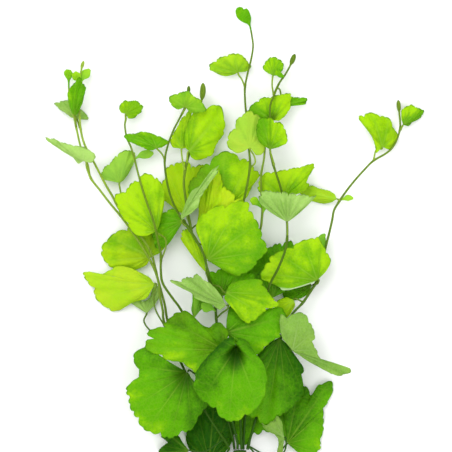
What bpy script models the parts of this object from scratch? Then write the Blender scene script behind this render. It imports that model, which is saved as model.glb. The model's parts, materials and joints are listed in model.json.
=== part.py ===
"""A cut bunch of cardamine shoots lying on its back on a flat surface.

Nine thin stems fan out from one short stock with a cut end, and round, scalloped leaves on thin petioles
grow from them. Lengths are millimetres. The tables hold places in the picture, which place() turns into mm:
x across the bunch, y up the bunch from the cut end, z above the surface. The origin is on the surface, under
the middle of the bunch.
"""
import math

import bmesh
import bpy
import numpy as np

MM = 0.001
MIDDLE_Y = 116.0  # mm from the cut end to the middle of the bunch
BLADE_THICKNESS = 0.6
BLADE_BACK = 0.35  # how far a blade reaches behind its hub, as a share of its reach ahead of it
DOME_HEIGHT = 1.2
WAVE_HEIGHT = 0.5
WAVES = 5  # around the hub
PETIOLE_RADIUS = 0.42
PETIOLE_SQUARE = 0.75  # half the side of its square section, as a share of its radius
PETIOLE_START = (1.0, 0.9)  # its first step: behind the hub, and away from the blade
GAP = 0.3  # between pieces that touch
YOUNG_THICKNESS = 0.8
YOUNG_SIDES = 6
STEM_RADIUS = 0.62
STEM_TIP_RADIUS = 0.45
STEM_SIDES = 5
BUD_TIP_RADIUS = 0.25
BUD_RINGS = (0.0, 0.2, 0.6)  # along the bud
RING_REACH = (0.5, 1.0)  # middle and rim of a blade
FULL_RELIEF = 14.0  # where the blade reaches this far from its hub, its dome and wave have their full height
STOCK_RADII = (2.6, 3.5, 3.3)  # at its cut end, in its middle and where the stems leave it
STOCK_PLACES = (0.0, 5.0, 11.0)  # the same three, up from the cut end
STOCK_SIDES = 12
STOCK_X = 3.0
CUT_STEP = 0.01  # share of a line's last piece by which it is shortened until it is clear of its parent
SHARP_ANGLE = 50.0  # degrees

STEM_COLOUR = (0.17, 0.27, 0.06)
STOCK_COLOUR = (0.16, 0.25, 0.05)
UPPER_COLOUR = (0.22, 0.48, 0.02)
LOWER_COLOUR = (0.34, 0.52, 0.13)
LEAF_ROUGHNESS = 0.45
STEM_ROUGHNESS = 0.5

# Places are read by eye in the 452-pixel picture: pixels across, pixels down, then mm above the surface.
FRONT_LEAF_LENGTH = 40.0  # mm, of leaf_low_front
FRONT_LEAF_PIXELS = 80.0  # of the same leaf in the picture, rounded
PIXEL = FRONT_LEAF_LENGTH / FRONT_LEAF_PIXELS  # mm
MIDDLE_COLUMN = 234.0  # of the picture, over the middle of the bunch
CUT_END_ROW = 472.0  # of the picture, a little below its lower edge


def place(across, down, *rest):
    """A place in the picture as mm: x across the bunch, y up the bunch from the cut end."""
    return ((across - MIDDLE_COLUMN) * PIXEL, (CUT_END_ROW - down) * PIXEL, *rest)


def in_mm(rows):
    """A table with every place in its rows turned into mm."""
    turned = {name: dict(row) for name, row in rows.items()}
    for row in turned.values():
        for key in {"hub", "tip", "a", "b"} & set(row):
            row[key] = place(*row[key])
        for key in {"points", "rim_a", "rim_b", "petiole"} & set(row):
            row[key] = [place(*point) for point in row[key]]
    return turned


# Each stem: its centre line from the tip down, the stem that it forks from, and its bud's length and radius.
STEMS = in_mm({
    "stem_far_left": dict(points=[
        (69, 82, 5), (69, 90, 5), (70, 100, 6), (74, 116, 7.2), (77, 130, 7.2), (81, 147, 7),
        (88, 165, 7.8), (91, 178, 8.6), (100, 190, 10), (110, 203, 11), (120, 215, 10.5), (130, 228, 11),
        (138, 240, 12), (148, 256, 13.3), (155, 270, 14.5), (159, 283, 14.5), (160, 295, 14.5),
        (163, 310, 14), (165, 324, 13), (180, 360, 11.5), (205, 410, 8.5), (226, 442, 6),
        (229, 449, 5.2)]),
    "stem_left": dict(parent="stem_far_left", bud=(4.5, 0.9), points=[
        (84, 61, 8), (82, 68, 7), (80, 80, 6), (79, 95, 6), (80, 118, 7), (81, 130, 7.2), (85, 145, 7.6),
        (95, 164, 8), (106, 185, 8), (113, 197, 8), (119, 208, 8.5), (133, 226, 9.5), (150, 250, 11),
        (157, 275, 11.5), (161, 290, 11.5), (165, 305, 11.5), (168, 322, 11), (176, 345, 11)]),
    "stem_left_center": dict(points=[
        (126, 119, 5), (125, 126, 5.5), (127, 138, 6.5), (131, 147, 7.2), (135, 160, 9.8),
        (138, 172, 14.5), (143, 190, 17), (148, 205, 17.2), (154, 222, 16.8), (158, 240, 14.8),
        (161, 255, 12.6), (161, 270, 12.5), (163, 283, 13.5), (172, 297, 13.5), (182, 311, 13),
        (200, 345, 11.5), (222, 400, 8), (232, 435, 5.2), (234.5, 449, 2.6)]),
    "stem_center_left": dict(bud=(4, 0.9), points=[
        (189, 86, 11), (188, 97, 11), (184, 110, 12), (178, 122, 13.5), (173, 132, 13.5),
        (168, 146, 13.5), (165, 160, 13.5), (166, 175, 14), (169, 190, 14.5), (173, 202, 15),
        (180, 216, 15.5), (190, 230, 18), (202, 250, 24), (206, 262, 25.5), (208, 273, 25),
        (211, 285, 19.5), (215, 305, 15), (217, 325, 14), (222, 360, 13), (230, 410, 9.5),
        (237, 440, 6.5), (237.5, 449, 5.8)]),
    "stem_center_fork": dict(parent="stem_center_left", bud=(9, 1.5), points=[
        (203, 83, 8), (203, 90, 7.5), (202, 99, 6), (199, 115, 4.5), (194, 140, 5), (190, 152, 7),
        (187, 162, 9.5), (185, 172, 12), (184, 185, 13), (186, 200, 13.5), (188, 212, 14.5),
        (192, 232, 17.4)]),
    "stem_tall": dict(points=[
        (250, 26, 4.5), (252, 37, 4.8), (253, 47, 5.2), (251, 60, 5.6), (248, 72, 6), (245, 87, 7),
        (245, 100, 8), (246, 113, 9), (248, 132, 10.5), (249, 150, 12.3), (250, 165, 14), (248, 180, 14),
        (245, 195, 13.5), (242, 210, 13), (239, 240, 12.5), (236, 280, 12), (236, 330, 11),
        (239, 390, 9), (241, 435, 7), (241.5, 449, 6)]),
    "stem_right_center": dict(bud=(6, 1.3), points=[
        (295, 54, 5), (290, 66, 5.6), (285, 75, 6.6), (280, 82, 7.6), (276, 90, 9), (273, 98, 10.5),
        (270, 107, 11.8), (270, 125, 12.5), (270, 150, 13), (272, 161, 14), (276, 174, 15),
        (281, 190, 15), (286, 215, 15), (287, 235, 17), (285, 250, 18.3), (278, 268, 19), (270, 284, 17),
        (262, 310, 14), (254, 360, 11), (246, 410, 7), (243.5, 440, 4.6), (243.5, 449, 2.8)]),
    "stem_center_right": dict(parent="stem_tall", points=[
        (265, 122, 12.6), (265, 140, 12.2), (264, 158, 12.5), (261, 175, 13), (261, 190, 13),
        (262, 205, 13), (262, 215, 13), (260, 230, 12.5), (252, 250, 11.5), (238, 285, 12)]),
    "stem_far_right": dict(bud=(6, 1.1), points=[
        (398, 100, 4), (399, 112, 3.6), (400, 127, 3.6), (397, 139, 3.6), (392, 148, 3.8), (385, 154, 4),
        (373, 161, 4.5), (364, 170, 5), (355, 180, 5.6), (347, 190, 6.2), (340, 200, 6.6), (334, 210, 7),
        (332, 220, 7.2), (329, 233, 7.6), (326, 245, 7.8), (322, 262, 8), (317, 280, 8.5),
        (311, 290, 9.5), (303, 302, 11), (290, 317, 12), (278, 345, 12), (264, 390, 9.5),
        (251, 435, 6.5), (247.5, 449, 5.2)]),
})

# Each leaf: hub where the petiole joins, tip and the two sides (a, b) that its blade is stretched over,
# then its rim seen from above, from the tip to the notch on each side; then its form and its stem.
LEAVES = in_mm({
    "leaf_far_left_folded": dict(
        hub=(75.5, 116, 9.2), tip=(80, 79, 11), a=(69, 98, 9.2), b=(85, 95, 12.2),
        rim_a=[(76, 84), (71.5, 88.5), (69, 94), (68.5, 101), (70.5, 108), (73, 113.5)],
        rim_b=[(83, 83), (85.5, 90), (84, 97), (83, 103.5), (80.5, 109), (78, 114)],
        stem="stem_far_left", petiole=[(76.5, 127, 7.6)]),
    "leaf_far_left_behind": dict(
        hub=(77, 119, 4.4), tip=(74, 104, 1.7), a=(56, 105, 1.8), b=(88, 117, 2),
        rim_a=[(66, 101.5), (60, 102.5), (55.5, 104.5), (60, 109.5), (66, 113.5), (71, 117.5)],
        rim_b=[(80, 109), (84, 112.5), (88, 116.5), (87.5, 119.5), (82, 119.8)],
        back=0.5, under=True, stem="stem_left", petiole=[(80, 128, 7)]),
    "leaf_far_left_pale": dict(
        hub=(84, 161, 11.4), tip=(47, 138, 9.5), a=(75, 158, 8.4), b=(93, 153, 13),
        rim_a=[(52, 143.5), (60, 148.7), (67, 153), (75, 158.5), (78, 164)],
        rim_b=[(55, 140), (62, 142.5), (69, 145), (80, 146.5), (88, 149.5), (95.5, 156), (92.5, 163)],
        back=0.3, under=True, stem="stem_far_left", petiole=[(87, 168, 9.6), (91, 179, 9)]),
    "leaf_left_round": dict(
        hub=(126, 114, 5.5), tip=(131, 101.5, 7), a=(120, 109, 4), b=(141.5, 109, 6.5),
        rim_a=[(126, 101.3), (122, 103.5), (119.8, 108.5), (121, 112.5)],
        rim_b=[(135.5, 100.8), (139, 103), (142, 107), (141.3, 111.5), (137.5, 115), (133.5, 118.3),
               (128.5, 118.6)],
        stem="stem_left_center", petiole=[(126, 119.5, 5)]),
    "leaf_left_dark": dict(
        hub=(157, 148.5, 10), tip=(151, 134, 7), a=(127, 137, 8.6), b=(169, 142.5, 9.8),
        rim_a=[(143, 133), (135, 134), (126.5, 136.5), (130, 142), (136, 144.5), (142, 147.5),
               (148, 150), (153, 150.7)],
        rim_b=[(158, 136.3), (164, 139.3), (169.5, 142.3), (166, 144.7), (162, 148)],
        back=0.6, stem="stem_center_left", petiole=[(162, 154, 12), (165, 160, 13.5)]),
    "leaf_left_petiole": dict(
        hub=(120, 183, 5.5), tip=(129, 152, 4.8), a=(102, 174, 4), b=(132, 168, 3.6),
        rim_a=[(122, 153.5), (116.5, 156.5), (112, 162.5), (104.5, 168), (101.5, 175), (104, 180)],
        rim_b=[(134, 153.5), (134.5, 161), (131.5, 168), (128, 174.5), (124, 180)],
        back=0.5, stem="stem_left", petiole=[(121, 195, 7), (120, 210, 8.5)]),
    "leaf_left_big": dict(
        hub=(157, 231, 13.6), tip=(150, 177, 14.5), a=(117, 205, 13.5), b=(164.5, 205, 13),
        rim_a=[(143, 177.8), (137, 181), (131, 187), (124, 193), (116.5, 197.5), (119.5, 208),
               (124, 217), (130, 226), (137, 234.5), (147, 236)],
        rim_b=[(156, 179), (163.5, 190), (164.5, 198), (163.5, 208), (160.5, 221)],
        back=0.3, stem="stem_left_center",
        petiole=[(165, 238, 12.2), (166, 247, 12.2), (162, 258, 11.8)]),
    "leaf_left_behind": dict(
        hub=(183, 221, 10.2), tip=(153, 236, 8), a=(168, 210.5, 9.2), b=(171, 240.5, 8.5),
        rim_a=[(156, 222), (163.5, 213.5), (173, 209.3), (179, 214)],
        rim_b=[(158, 247), (166, 245.5), (171.5, 240), (175, 234.5), (180, 227)],
        stem="stem_center_left", petiole=[(186.5, 225, 16.2)]),
    "leaf_left_yellow": dict(
        hub=(151, 257, 5), tip=(102, 251, 2.3), a=(138, 226, 3), b=(133, 270, 2.3),
        rim_a=[(105, 244.5), (111, 239), (117, 233.5), (127, 229), (138, 226), (151, 230), (161, 238),
               (164.5, 247), (159, 253.5)],
        rim_b=[(104.5, 258), (109, 264), (113, 268.5), (122, 271.5), (133, 270), (141, 267.5),
               (147, 265)],
        back=0.4, stem="stem_left", petiole=[(156, 272, 11.3)]),
    "leaf_left_bright": dict(
        hub=(155, 284, 7.9), tip=(91, 280, 2.6), a=(131, 267, 5.9), b=(122, 309, 2.4),
        rim_a=[(86.5, 271.5), (104, 274), (110, 269.5), (120, 266), (133, 268.5), (141, 272.5),
               (150, 277.5)],
        rim_b=[(94, 287), (99, 297), (105, 304.5), (111, 309.7), (119, 310), (126, 306.5), (133, 302.5),
               (148, 297.5)],
        back=0.35, stem="stem_far_left", petiole=[(154, 296, 9), (156, 310, 10.5), (165, 326, 13)]),
    "leaf_left_underside": dict(
        hub=(147, 313, 2.6), tip=(150, 297, 1.9), a=(132, 303, 0.6), b=(159, 294, 2.2),
        rim_a=[(144, 301.5), (137, 299.5), (131.5, 302.7), (138.5, 308)],
        rim_b=[(152.5, 289), (155, 283.5), (158.5, 291), (159, 297.5), (154.5, 305.5)],
        bulge=0.4, back=0.4, under=True, stem="stem_far_left",
        petiole=[(144, 321, 4), (149, 329, 7.5), (158, 334, 10.6), (168, 334, 12.7)]),
    "leaf_center_left_top": dict(
        hub=(185.5, 107.5, 15.5), tip=(188, 91.8, 17.5), a=(170.5, 100, 16), b=(203, 105, 16),
        rim_a=[(182, 93.3), (176, 95), (171, 97.5), (170.3, 102.5), (173.5, 107), (178, 110)],
        rim_b=[(191, 94.5), (196, 98), (200.5, 100.5), (203.5, 106), (204.5, 111), (197, 113.3),
               (190.5, 113)],
        back=0.5, stem="stem_center_left", petiole=[(182.5, 114, 12.8)]),
    "leaf_center_left_big": dict(
        hub=(189, 151.5, 11), tip=(214, 107.3, 8.5), a=(184.5, 135, 10), b=(215, 147, 7),
        rim_a=[(205, 110), (196, 112.5), (190.5, 118), (187, 127), (184.3, 137), (186, 148.5)],
        rim_b=[(220, 110.5), (222, 119), (223.7, 128), (222.5, 135), (218, 141.5), (214.5, 149),
               (210, 156), (197, 159.8), (191, 157.5)],
        back=0.3, stem="stem_center_fork", petiole=[(187, 162, 10.5)]),
    "leaf_center_left_side": dict(
        hub=(182, 149, 9), tip=(190, 113, 8), a=(172, 140, 6.6), b=(193, 135, 6.8),
        rim_a=[(185.5, 115.5), (180.5, 121), (177, 128), (173, 135.5), (171, 142), (173, 147.7)],
        rim_b=[(194, 120), (196, 132), (190, 143), (186, 148)],
        bulge=0.6, stem="stem_center_fork", petiole=[(183, 163, 12.4), (185, 170, 12)]),
    "leaf_center_left_yellow": dict(
        hub=(187, 216, 6.1), tip=(180, 163.5, 2.8), a=(164, 192, 2.5), b=(206, 185, 2.4),
        rim_a=[(175, 164.5), (170.5, 167), (166.5, 172), (166, 180), (162.5, 188), (164, 199),
               (170, 204.5), (177, 211)],
        rim_b=[(186, 163), (190.5, 164.5), (194.5, 169), (201, 167.5), (207.5, 169), (204, 188),
               (196, 204)],
        stem="stem_center_left", petiole=[(189, 222, 9), (190, 228, 14)]),
    "leaf_center_strip": dict(
        hub=(206, 272, 13.5), tip=(185, 231, 8.6), a=(185, 254, 9), b=(203, 248, 11),
        rim_a=[(181.5, 239), (187, 248), (192, 255), (199, 264.5)],
        rim_b=[(191, 231), (199, 243), (205, 258)],
        stem="stem_center_left", petiole=[(208, 278, 18), (210, 284, 19)]),
    "leaf_center_upper": dict(
        hub=(222, 212, 9.5), tip=(231, 156.3, 7.5), a=(190, 192, 8), b=(254, 186, 8.5),
        rim_a=[(224, 156.3), (216, 159), (208, 164.5), (199, 173), (191, 182), (188.5, 192), (195, 206)],
        rim_b=[(239, 158.8), (246.5, 162), (253, 168.5), (258.5, 175), (255.5, 181.5), (250, 189),
               (246, 199)],
        back=0.3, stem="stem_center_left", petiole=[(206, 219, 8.3), (195, 226, 9), (189.5, 231, 15)]),
    "leaf_center_edge": dict(
        hub=(182, 220, 19.5), tip=(218, 167, 16), a=(192, 198, 16), b=(199, 204, 21.5),
        rim_a=[(212, 173), (205, 182), (196, 190.5), (191, 197), (187, 205), (182, 213)],
        rim_b=[(215, 177), (208, 187), (203, 194), (199, 204), (192, 214)],
        back=0.3, under=True, stem="stem_center_left", petiole=[(186, 226, 17)]),
    "leaf_center_bright": dict(
        hub=(203, 243, 14.5), tip=(217, 170, 11.6), a=(199, 203, 11.6), b=(236, 205, 15),
        rim_a=[(210, 184), (202.5, 193), (199.3, 203), (199, 214), (197.5, 222), (197, 230)],
        rim_b=[(221, 180), (226, 190), (234, 197.5), (241, 205), (240, 220), (225, 237)],
        back=0.25, stem="stem_center_left", petiole=[(196.5, 242, 19)]),
    "leaf_center_largest": dict(
        hub=(207, 260, 20), tip=(251.5, 217.5, 17.5), a=(199, 219, 17.5), b=(253, 265.5, 18),
        rim_a=[(247.5, 206.5), (238, 205.3), (228, 206.5), (217, 209), (206, 213), (199, 219),
               (195.5, 229)],
        rim_b=[(260, 233), (263, 242), (266, 249.5), (260, 257.5), (252, 266.5), (240, 274.8),
               (231, 274), (223.5, 270)],
        back=0.33, bulge=2.5, stem="stem_center_left", petiole=[(209, 272, 24)]),
    "leaf_tall_side": dict(
        hub=(238, 72.5, 5), tip=(234, 54.8, 9), a=(211, 68, 4.5), b=(250, 66, 3.4),
        rim_a=[(227, 56), (219, 59.3), (212.5, 63.5), (210.5, 69), (216, 72.8), (222, 75.5), (227, 76),
               (233, 74.5)],
        rim_b=[(240, 55), (244, 58), (248.5, 63), (250.8, 67), (247.5, 70.7)],
        back=0.34, stem="stem_tall", petiole=[(242, 80, 5), (245, 88, 6.8)]),
    "leaf_tall_pale": dict(
        hub=(250, 148, 14.5), tip=(248.5, 112.3, 14), a=(230, 138, 12.5), b=(264, 136, 13),
        rim_a=[(242.5, 116.3), (237, 121), (235.3, 128), (231, 133.5), (227.8, 140), (229, 146.5),
               (233.5, 151), (238, 153.2), (242, 152.5)],
        rim_b=[(253, 113.5), (260, 121), (264, 142), (264.5, 150), (261, 154.7), (256, 155.7)],
        back=0.35, stem="stem_tall", petiole=[(254, 156, 12.5), (255, 163, 12.3), (250, 168, 13.4)]),
    "leaf_tall_green": dict(
        hub=(272, 120.5, 9), tip=(270.5, 98, 8.8), a=(250, 112, 9.6), b=(290, 105, 8),
        rim_a=[(264, 98.7), (259.5, 100.5), (254.5, 104.8), (249.7, 111.5), (251.5, 117.5), (260, 122)],
        rim_b=[(277, 95.8), (284.5, 94.8), (291.3, 95), (289.7, 102.5), (289.3, 109), (285, 115.5),
               (279, 121)],
        back=0.4, stem="stem_center_right", petiole=[(269, 128, 10), (265.5, 136, 12.2)]),
    "leaf_tall_light": dict(
        hub=(279, 106, 5.4), tip=(305, 101, 5.4), a=(291, 97, 6.2), b=(291, 106.5, 4.4),
        rim_a=[(304.3, 98.4), (298, 98), (291, 97.2), (282, 100)],
        rim_b=[(304.5, 103.8), (298, 105), (291, 106.5), (284, 109)],
        bulge=0.4, back=0.4, stem="stem_right_center", petiole=[(280.5, 98, 6), (280, 90.5, 7)]),
    "leaf_tall_front": dict(
        hub=(270, 149.5, 15.5), tip=(270, 119.5, 18), a=(257, 134, 19), b=(286, 138, 18),
        rim_a=[(264.5, 118.8), (259.5, 120), (257, 126), (256.5, 133), (258, 139.5), (262, 145.5)],
        rim_b=[(276, 124), (281, 125.3), (284, 129), (285.8, 135), (286.7, 142.5), (279, 147)],
        back=0.2, stem="stem_right_center", petiole=[(272, 158, 14.6), (274, 165, 14.6)]),
    "leaf_tall_small": dict(
        hub=(273, 76, 6), tip=(274, 57.5, 4.6), a=(264, 68, 4.4), b=(283, 67, 6.5),
        rim_a=[(269.5, 58.8), (266, 62), (263.6, 69), (267, 72.7)],
        rim_b=[(278, 59.5), (282, 63), (283, 68.5), (278.5, 76)],
        back=0.3, stem="stem_right_center", petiole=[(272, 86, 7.6), (273.5, 95, 10)]),
    "leaf_right_center_bright": dict(
        hub=(283, 199, 10.5), tip=(313, 164.5, 8), a=(262, 178, 10), b=(307, 186, 9),
        rim_a=[(306, 166.3), (298, 168.5), (284, 171.3), (277, 173.5), (269, 173), (264, 176),
               (259.5, 182), (258, 189), (263, 196)],
        rim_b=[(315, 166.5), (311.5, 171.2), (306.5, 180), (308, 186), (303, 192)],
        stem="stem_right_center", petiole=[(286, 210, 14.5)]),
    "leaf_right_center_long": dict(
        hub=(337, 199, 6.1), tip=(301, 191, 1.7), a=(325, 190, 3.4), b=(324, 204, 1.9),
        rim_a=[(304, 186.5), (312, 185.8), (320, 188.7), (328, 190.5), (334.5, 194)],
        rim_b=[(305, 197), (314, 201.5), (323, 203.7), (331, 202.5)],
        back=0.3, bulge=0.6, stem="stem_far_right", petiole=[(339.5, 201, 6.5)]),
    "leaf_right_center_funnel": dict(
        hub=(287, 222, 17.5), tip=(287, 194, 25), a=(261, 196, 18), b=(314, 198, 18),
        rim_a=[(275, 192), (263, 192.5), (260.5, 197), (261, 204)],
        rim_b=[(298, 195.3), (306, 196.2), (314.5, 197.3), (312, 200)],
        back=0.12, under=True, stem="stem_right_center", petiole=[(287, 232, 17.5), (287, 240, 17.4)]),
    "leaf_far_right_tip": dict(
        hub=(403, 125, 3.6), tip=(421, 109.5, 2.6), a=(402, 111, 4.4), b=(412, 123, 2.2),
        rim_a=[(415, 107.3), (411, 105.7), (406.5, 107.2), (401.8, 110), (401, 119)],
        rim_b=[(422.8, 111.5), (419.5, 118.5), (413, 121.5), (408.5, 126.2)],
        stem="stem_far_right", petiole=[(400.3, 130, 3.6)]),
    "leaf_far_right_triangle": dict(
        hub=(382, 147, 4.4), tip=(377.5, 116, 5.4), a=(360, 119, 7), b=(397, 135, 1),
        rim_a=[(372, 114.8), (365, 115.4), (360.3, 116.3), (359.3, 119.5), (366, 128.7), (371.5, 136.5),
               (375, 146), (376, 153.5)],
        rim_b=[(384, 117), (388.5, 119), (392, 126), (397, 135.5), (395, 142), (389, 150)],
        back=0.3, stem="stem_far_right", petiole=[(376, 150, 4.2), (373.5, 160, 4.5)]),
    "leaf_right_big": dict(
        hub=(317, 280, 11), tip=(262.5, 275, 13.5), a=(305, 243, 12.5), b=(297, 288, 11.8),
        rim_a=[(266, 268), (269, 259.5), (283, 252), (292, 247), (306, 241.5), (316.5, 237.5),
               (321, 244), (325, 250), (330, 261), (327, 269.5)],
        rim_b=[(266, 280.5), (277, 285), (284, 290), (294, 288.5), (304, 285.5)],
        back=0.5, bulge=1.5, stem="stem_far_right", petiole=[(317, 284, 8.6)]),
    "leaf_right_behind": dict(
        hub=(272, 298, 11), tip=(279, 245.3, 7), a=(250, 275, 8), b=(293, 268, 6),
        rim_a=[(270, 248.6), (265, 248.3), (256, 258), (248, 272), (250, 285), (261, 295)],
        rim_b=[(287, 243.7), (292, 247), (296, 258), (294, 275), (284, 292)],
        back=0.3, stem="stem_right_center", petiole=[(266, 304, 14.5)]),
    "leaf_right_dark_small": dict(
        hub=(312, 285, 5.6), tip=(283, 294, 2.3), a=(297, 279, 5.7), b=(300, 298.5, 2.2),
        rim_a=[(284, 286), (292, 280), (303, 278)],
        rim_b=[(284.5, 299.5), (292, 300), (299, 298.7), (307, 294.5)],
        stem="stem_far_right", petiole=[(311, 290, 9.5)]),
    "leaf_right_low_bright": dict(
        hub=(294, 300, 9), tip=(284, 317.5, 10), a=(279, 304, 8), b=(293, 311, 8),
        rim_a=[(280.5, 314), (277.5, 307), (278, 300.5), (286, 297)],
        rim_b=[(288.5, 316), (292, 311), (295, 305)],
        stem="stem_far_right", petiole=[(303, 302, 11)]),
    "leaf_middle_yellow": dict(
        hub=(226, 292, 23), tip=(277, 303.5, 20), a=(255, 279.5, 21), b=(246, 320, 23.5),
        rim_a=[(270, 296.5), (264.5, 288), (260, 280), (249, 279.3), (236, 281.5), (229, 285)],
        rim_b=[(267, 308), (259, 312.5), (250, 321.7), (242, 318.7), (235, 311), (229, 304.5),
               (224, 298)],
        back=0.3, stem="stem_center_left", petiole=[(219, 286, 22), (211, 285, 19.5)]),
    "leaf_middle_band": dict(
        hub=(226, 305, 23), tip=(172, 281.8, 16), a=(206, 283, 24.5), b=(204, 301, 20),
        rim_a=[(182, 279.5), (193, 277.5), (199.5, 275), (207, 281.5), (214, 288), (222, 295.5)],
        rim_b=[(182, 287), (193, 292), (196.5, 297.5), (205, 300.8), (213, 304.5), (220, 309.5)],
        back=0.2, under=True, stem="stem_center_left",
        petiole=[(227, 309, 21.5), (222, 312.5, 19.3), (216.5, 318, 14.5)]),
    "leaf_middle_dark": dict(
        hub=(222, 296, 16), tip=(222, 270, 15.3), a=(210, 276, 15), b=(246, 278, 15.6),
        rim_a=[(216, 272), (209.3, 274), (210, 284), (214, 291)],
        rim_b=[(232, 268), (245, 270), (253, 278), (240, 289)],
        stem="stem_center_left", petiole=[(218, 302, 14.5), (215, 308, 15)]),
    "leaf_middle_vertical": dict(
        hub=(194, 318, 14), tip=(197, 284, 11.5), a=(191, 301, 11), b=(204, 301, 12),
        rim_a=[(193.2, 290), (192.8, 300), (191.5, 309)],
        rim_b=[(203, 288), (206, 297), (203, 308)],
        stem="stem_center_left", petiole=[(196, 326, 13), (206, 345, 12.5), (221, 355, 13)]),
    "leaf_low_left": dict(
        hub=(225, 350, 22), tip=(150, 340, 19.5), a=(187, 309, 19.5), b=(186, 367, 21.5),
        rim_a=[(151.5, 333), (159, 328.5), (169, 321), (176, 313.5), (184, 311), (191.5, 314),
               (206, 327), (219, 323.5), (229, 332)],
        rim_b=[(152, 349.5), (161, 354.5), (171, 359.5), (184, 361.5), (197, 372), (214, 370)],
        back=0.22, bulge=2, stem="stem_center_left",
        petiole=[(228, 354, 18), (225, 361, 14), (222, 366, 13)]),
    "leaf_low_left_round": dict(
        hub=(187.5, 372, 17.5), tip=(150, 430, 13.5), a=(134, 378, 15), b=(203, 408, 15),
        rim_a=[(141, 423), (134, 407), (130, 390), (137, 378), (142, 371.5), (135.5, 356), (146, 344.5)],
        rim_b=[(162, 434.5), (178, 431.7), (192, 424), (203, 408), (207.5, 399), (196, 383)],
        back=0.55, bulge=3, funnel=2, stem="stem_left_center",
        petiole=[(191, 370.5, 13.2), (200, 377, 11.5), (214, 386, 9.3)]),
    "leaf_low_front": dict(
        hub=(236, 347, 29), tip=(233, 416.7, 26), a=(197, 380, 28), b=(266, 376, 30),
        rim_a=[(220, 411.5), (209, 400), (197, 388), (195, 376), (205, 360), (217, 346), (225.5, 338.5),
               (233.5, 336)],
        rim_b=[(244, 414.5), (256, 406), (264, 393), (266.3, 379), (262, 362), (251.5, 348),
               (245.5, 340), (238.3, 336.5)],
        back=0.45, bulge=3, funnel=4, stem="stem_tall", petiole=[(238, 353, 18), (237, 360, 11)]),
    "leaf_low_behind": dict(
        hub=(226, 332, 19.3), tip=(281, 322, 17.8), a=(236, 311, 17.5), b=(250, 350, 20),
        rim_a=[(281, 312), (275, 307.3), (262, 311), (249, 317), (239, 312), (230, 307), (227, 317)],
        rim_b=[(280.3, 334), (270, 340), (263, 347.5), (255, 353), (243, 347), (232, 342)],
        back=0.25, stem="stem_center_left", petiole=[(221, 333, 17), (218, 337, 14)]),
    "leaf_low_right_dark": dict(
        hub=(279.5, 337, 14.5), tip=(266, 420, 11.5), a=(302, 372, 13.5), b=(246, 386, 13.5),
        rim_a=[(280, 414), (291, 406), (299, 397), (302, 388), (301.5, 377), (302, 366), (296.5, 357.5),
               (288, 345)],
        rim_b=[(251, 411), (244, 396), (244, 380), (256, 357), (269, 342.5)],
        bulge=1, stem="stem_far_right", petiole=[(279, 344, 12.4)]),
    "leaf_low_right_pale": dict(
        hub=(292, 350, 18), tip=(343, 372, 14), a=(307, 325, 18.5), b=(300, 357.5, 19),
        rim_a=[(346.5, 367), (320, 358), (315.5, 350), (311.5, 341.5), (313.7, 337.5), (310.5, 326),
               (305, 316.3), (297, 314.3), (288, 316.7), (281, 315.5), (280, 327), (281.5, 337.5)],
        rim_b=[(335, 374.5), (324, 369.3), (308, 360.8)],
        back=0.7, bulge=0.8, under=True, stem="stem_far_right",
        petiole=[(289.5, 344, 15.9), (286.5, 336, 14.6), (284.5, 330, 13)]),
    "leaf_low_right": dict(
        hub=(287, 443, 3.6), tip=(329, 384.7, 1.8), a=(283, 395, 2.4), b=(323, 430, 1.5),
        rim_a=[(320, 386.5), (316, 388), (311.5, 394), (303, 388.7), (286, 392), (274, 408), (275, 430)],
        rim_b=[(331.3, 392), (326.5, 404), (322, 410), (323.7, 427), (319, 440), (320.5, 447),
               (304, 458)],
        back=0.5, stem="stem_far_right", petiole=[(276, 455, 2.8), (262, 453, 3.1), (251, 447, 4.4)]),
    "leaf_low_right_curl": dict(
        hub=(284, 437, 10.6), tip=(261, 420.5, 9.8), a=(275, 416, 10.2), b=(277, 437, 9),
        rim_a=[(269, 415.3), (276.5, 415), (282, 422)],
        rim_b=[(267, 430), (273, 432.5), (277.5, 437.5), (278.5, 444), (277.5, 451.5), (283, 452)],
        bulge=0.5, back=0.5, under=True, stem="stem_far_right",
        petiole=[(285, 449, 9.4), (277, 459, 8.6), (262, 459, 8), (249.5, 447, 6.8)]),
    "leaf_low_back": dict(
        hub=(209, 462, 3.6), tip=(213, 396, 1.6), a=(188, 432, 1.6), b=(240, 424, 1.6),
        rim_a=[(200, 398), (190, 414), (188, 430), (188.5, 446), (197, 458)],
        rim_b=[(228, 402), (240, 413), (241, 421.5), (234, 433.5), (230, 445), (221, 457)],
        back=0.2, bulge=0.6, stem="stem_far_left", petiole=[(217, 463, 3.4), (227, 452, 5)]),
    "leaf_low_left_small": dict(
        hub=(189, 450, 7.1), tip=(160, 450, 2.1), a=(172, 433, 3.6), b=(174, 463, 2.3),
        rim_a=[(167.5, 442.5), (161, 435.5), (172, 430), (179, 436)],
        rim_b=[(161, 457), (168, 463.5), (180, 462)],
        stem="stem_far_left", petiole=[(205, 451, 7.5), (222, 440, 6.8)]),
    "leaf_low_center_dark": dict(
        hub=(258, 384, 6.4), tip=(258, 432, 3.4), a=(278, 412, 6.1), b=(233, 412, 3.4),
        rim_a=[(264, 430.3), (273, 427.5), (279, 417), (279, 403), (269, 392)],
        rim_b=[(254, 430.5), (247, 441), (239, 441), (236.5, 428), (234, 412), (237, 397), (247, 388)],
        bulge=0.6, stem="stem_far_right", petiole=[(262, 384, 7.5), (265, 388, 9.5)]),
})

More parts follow.
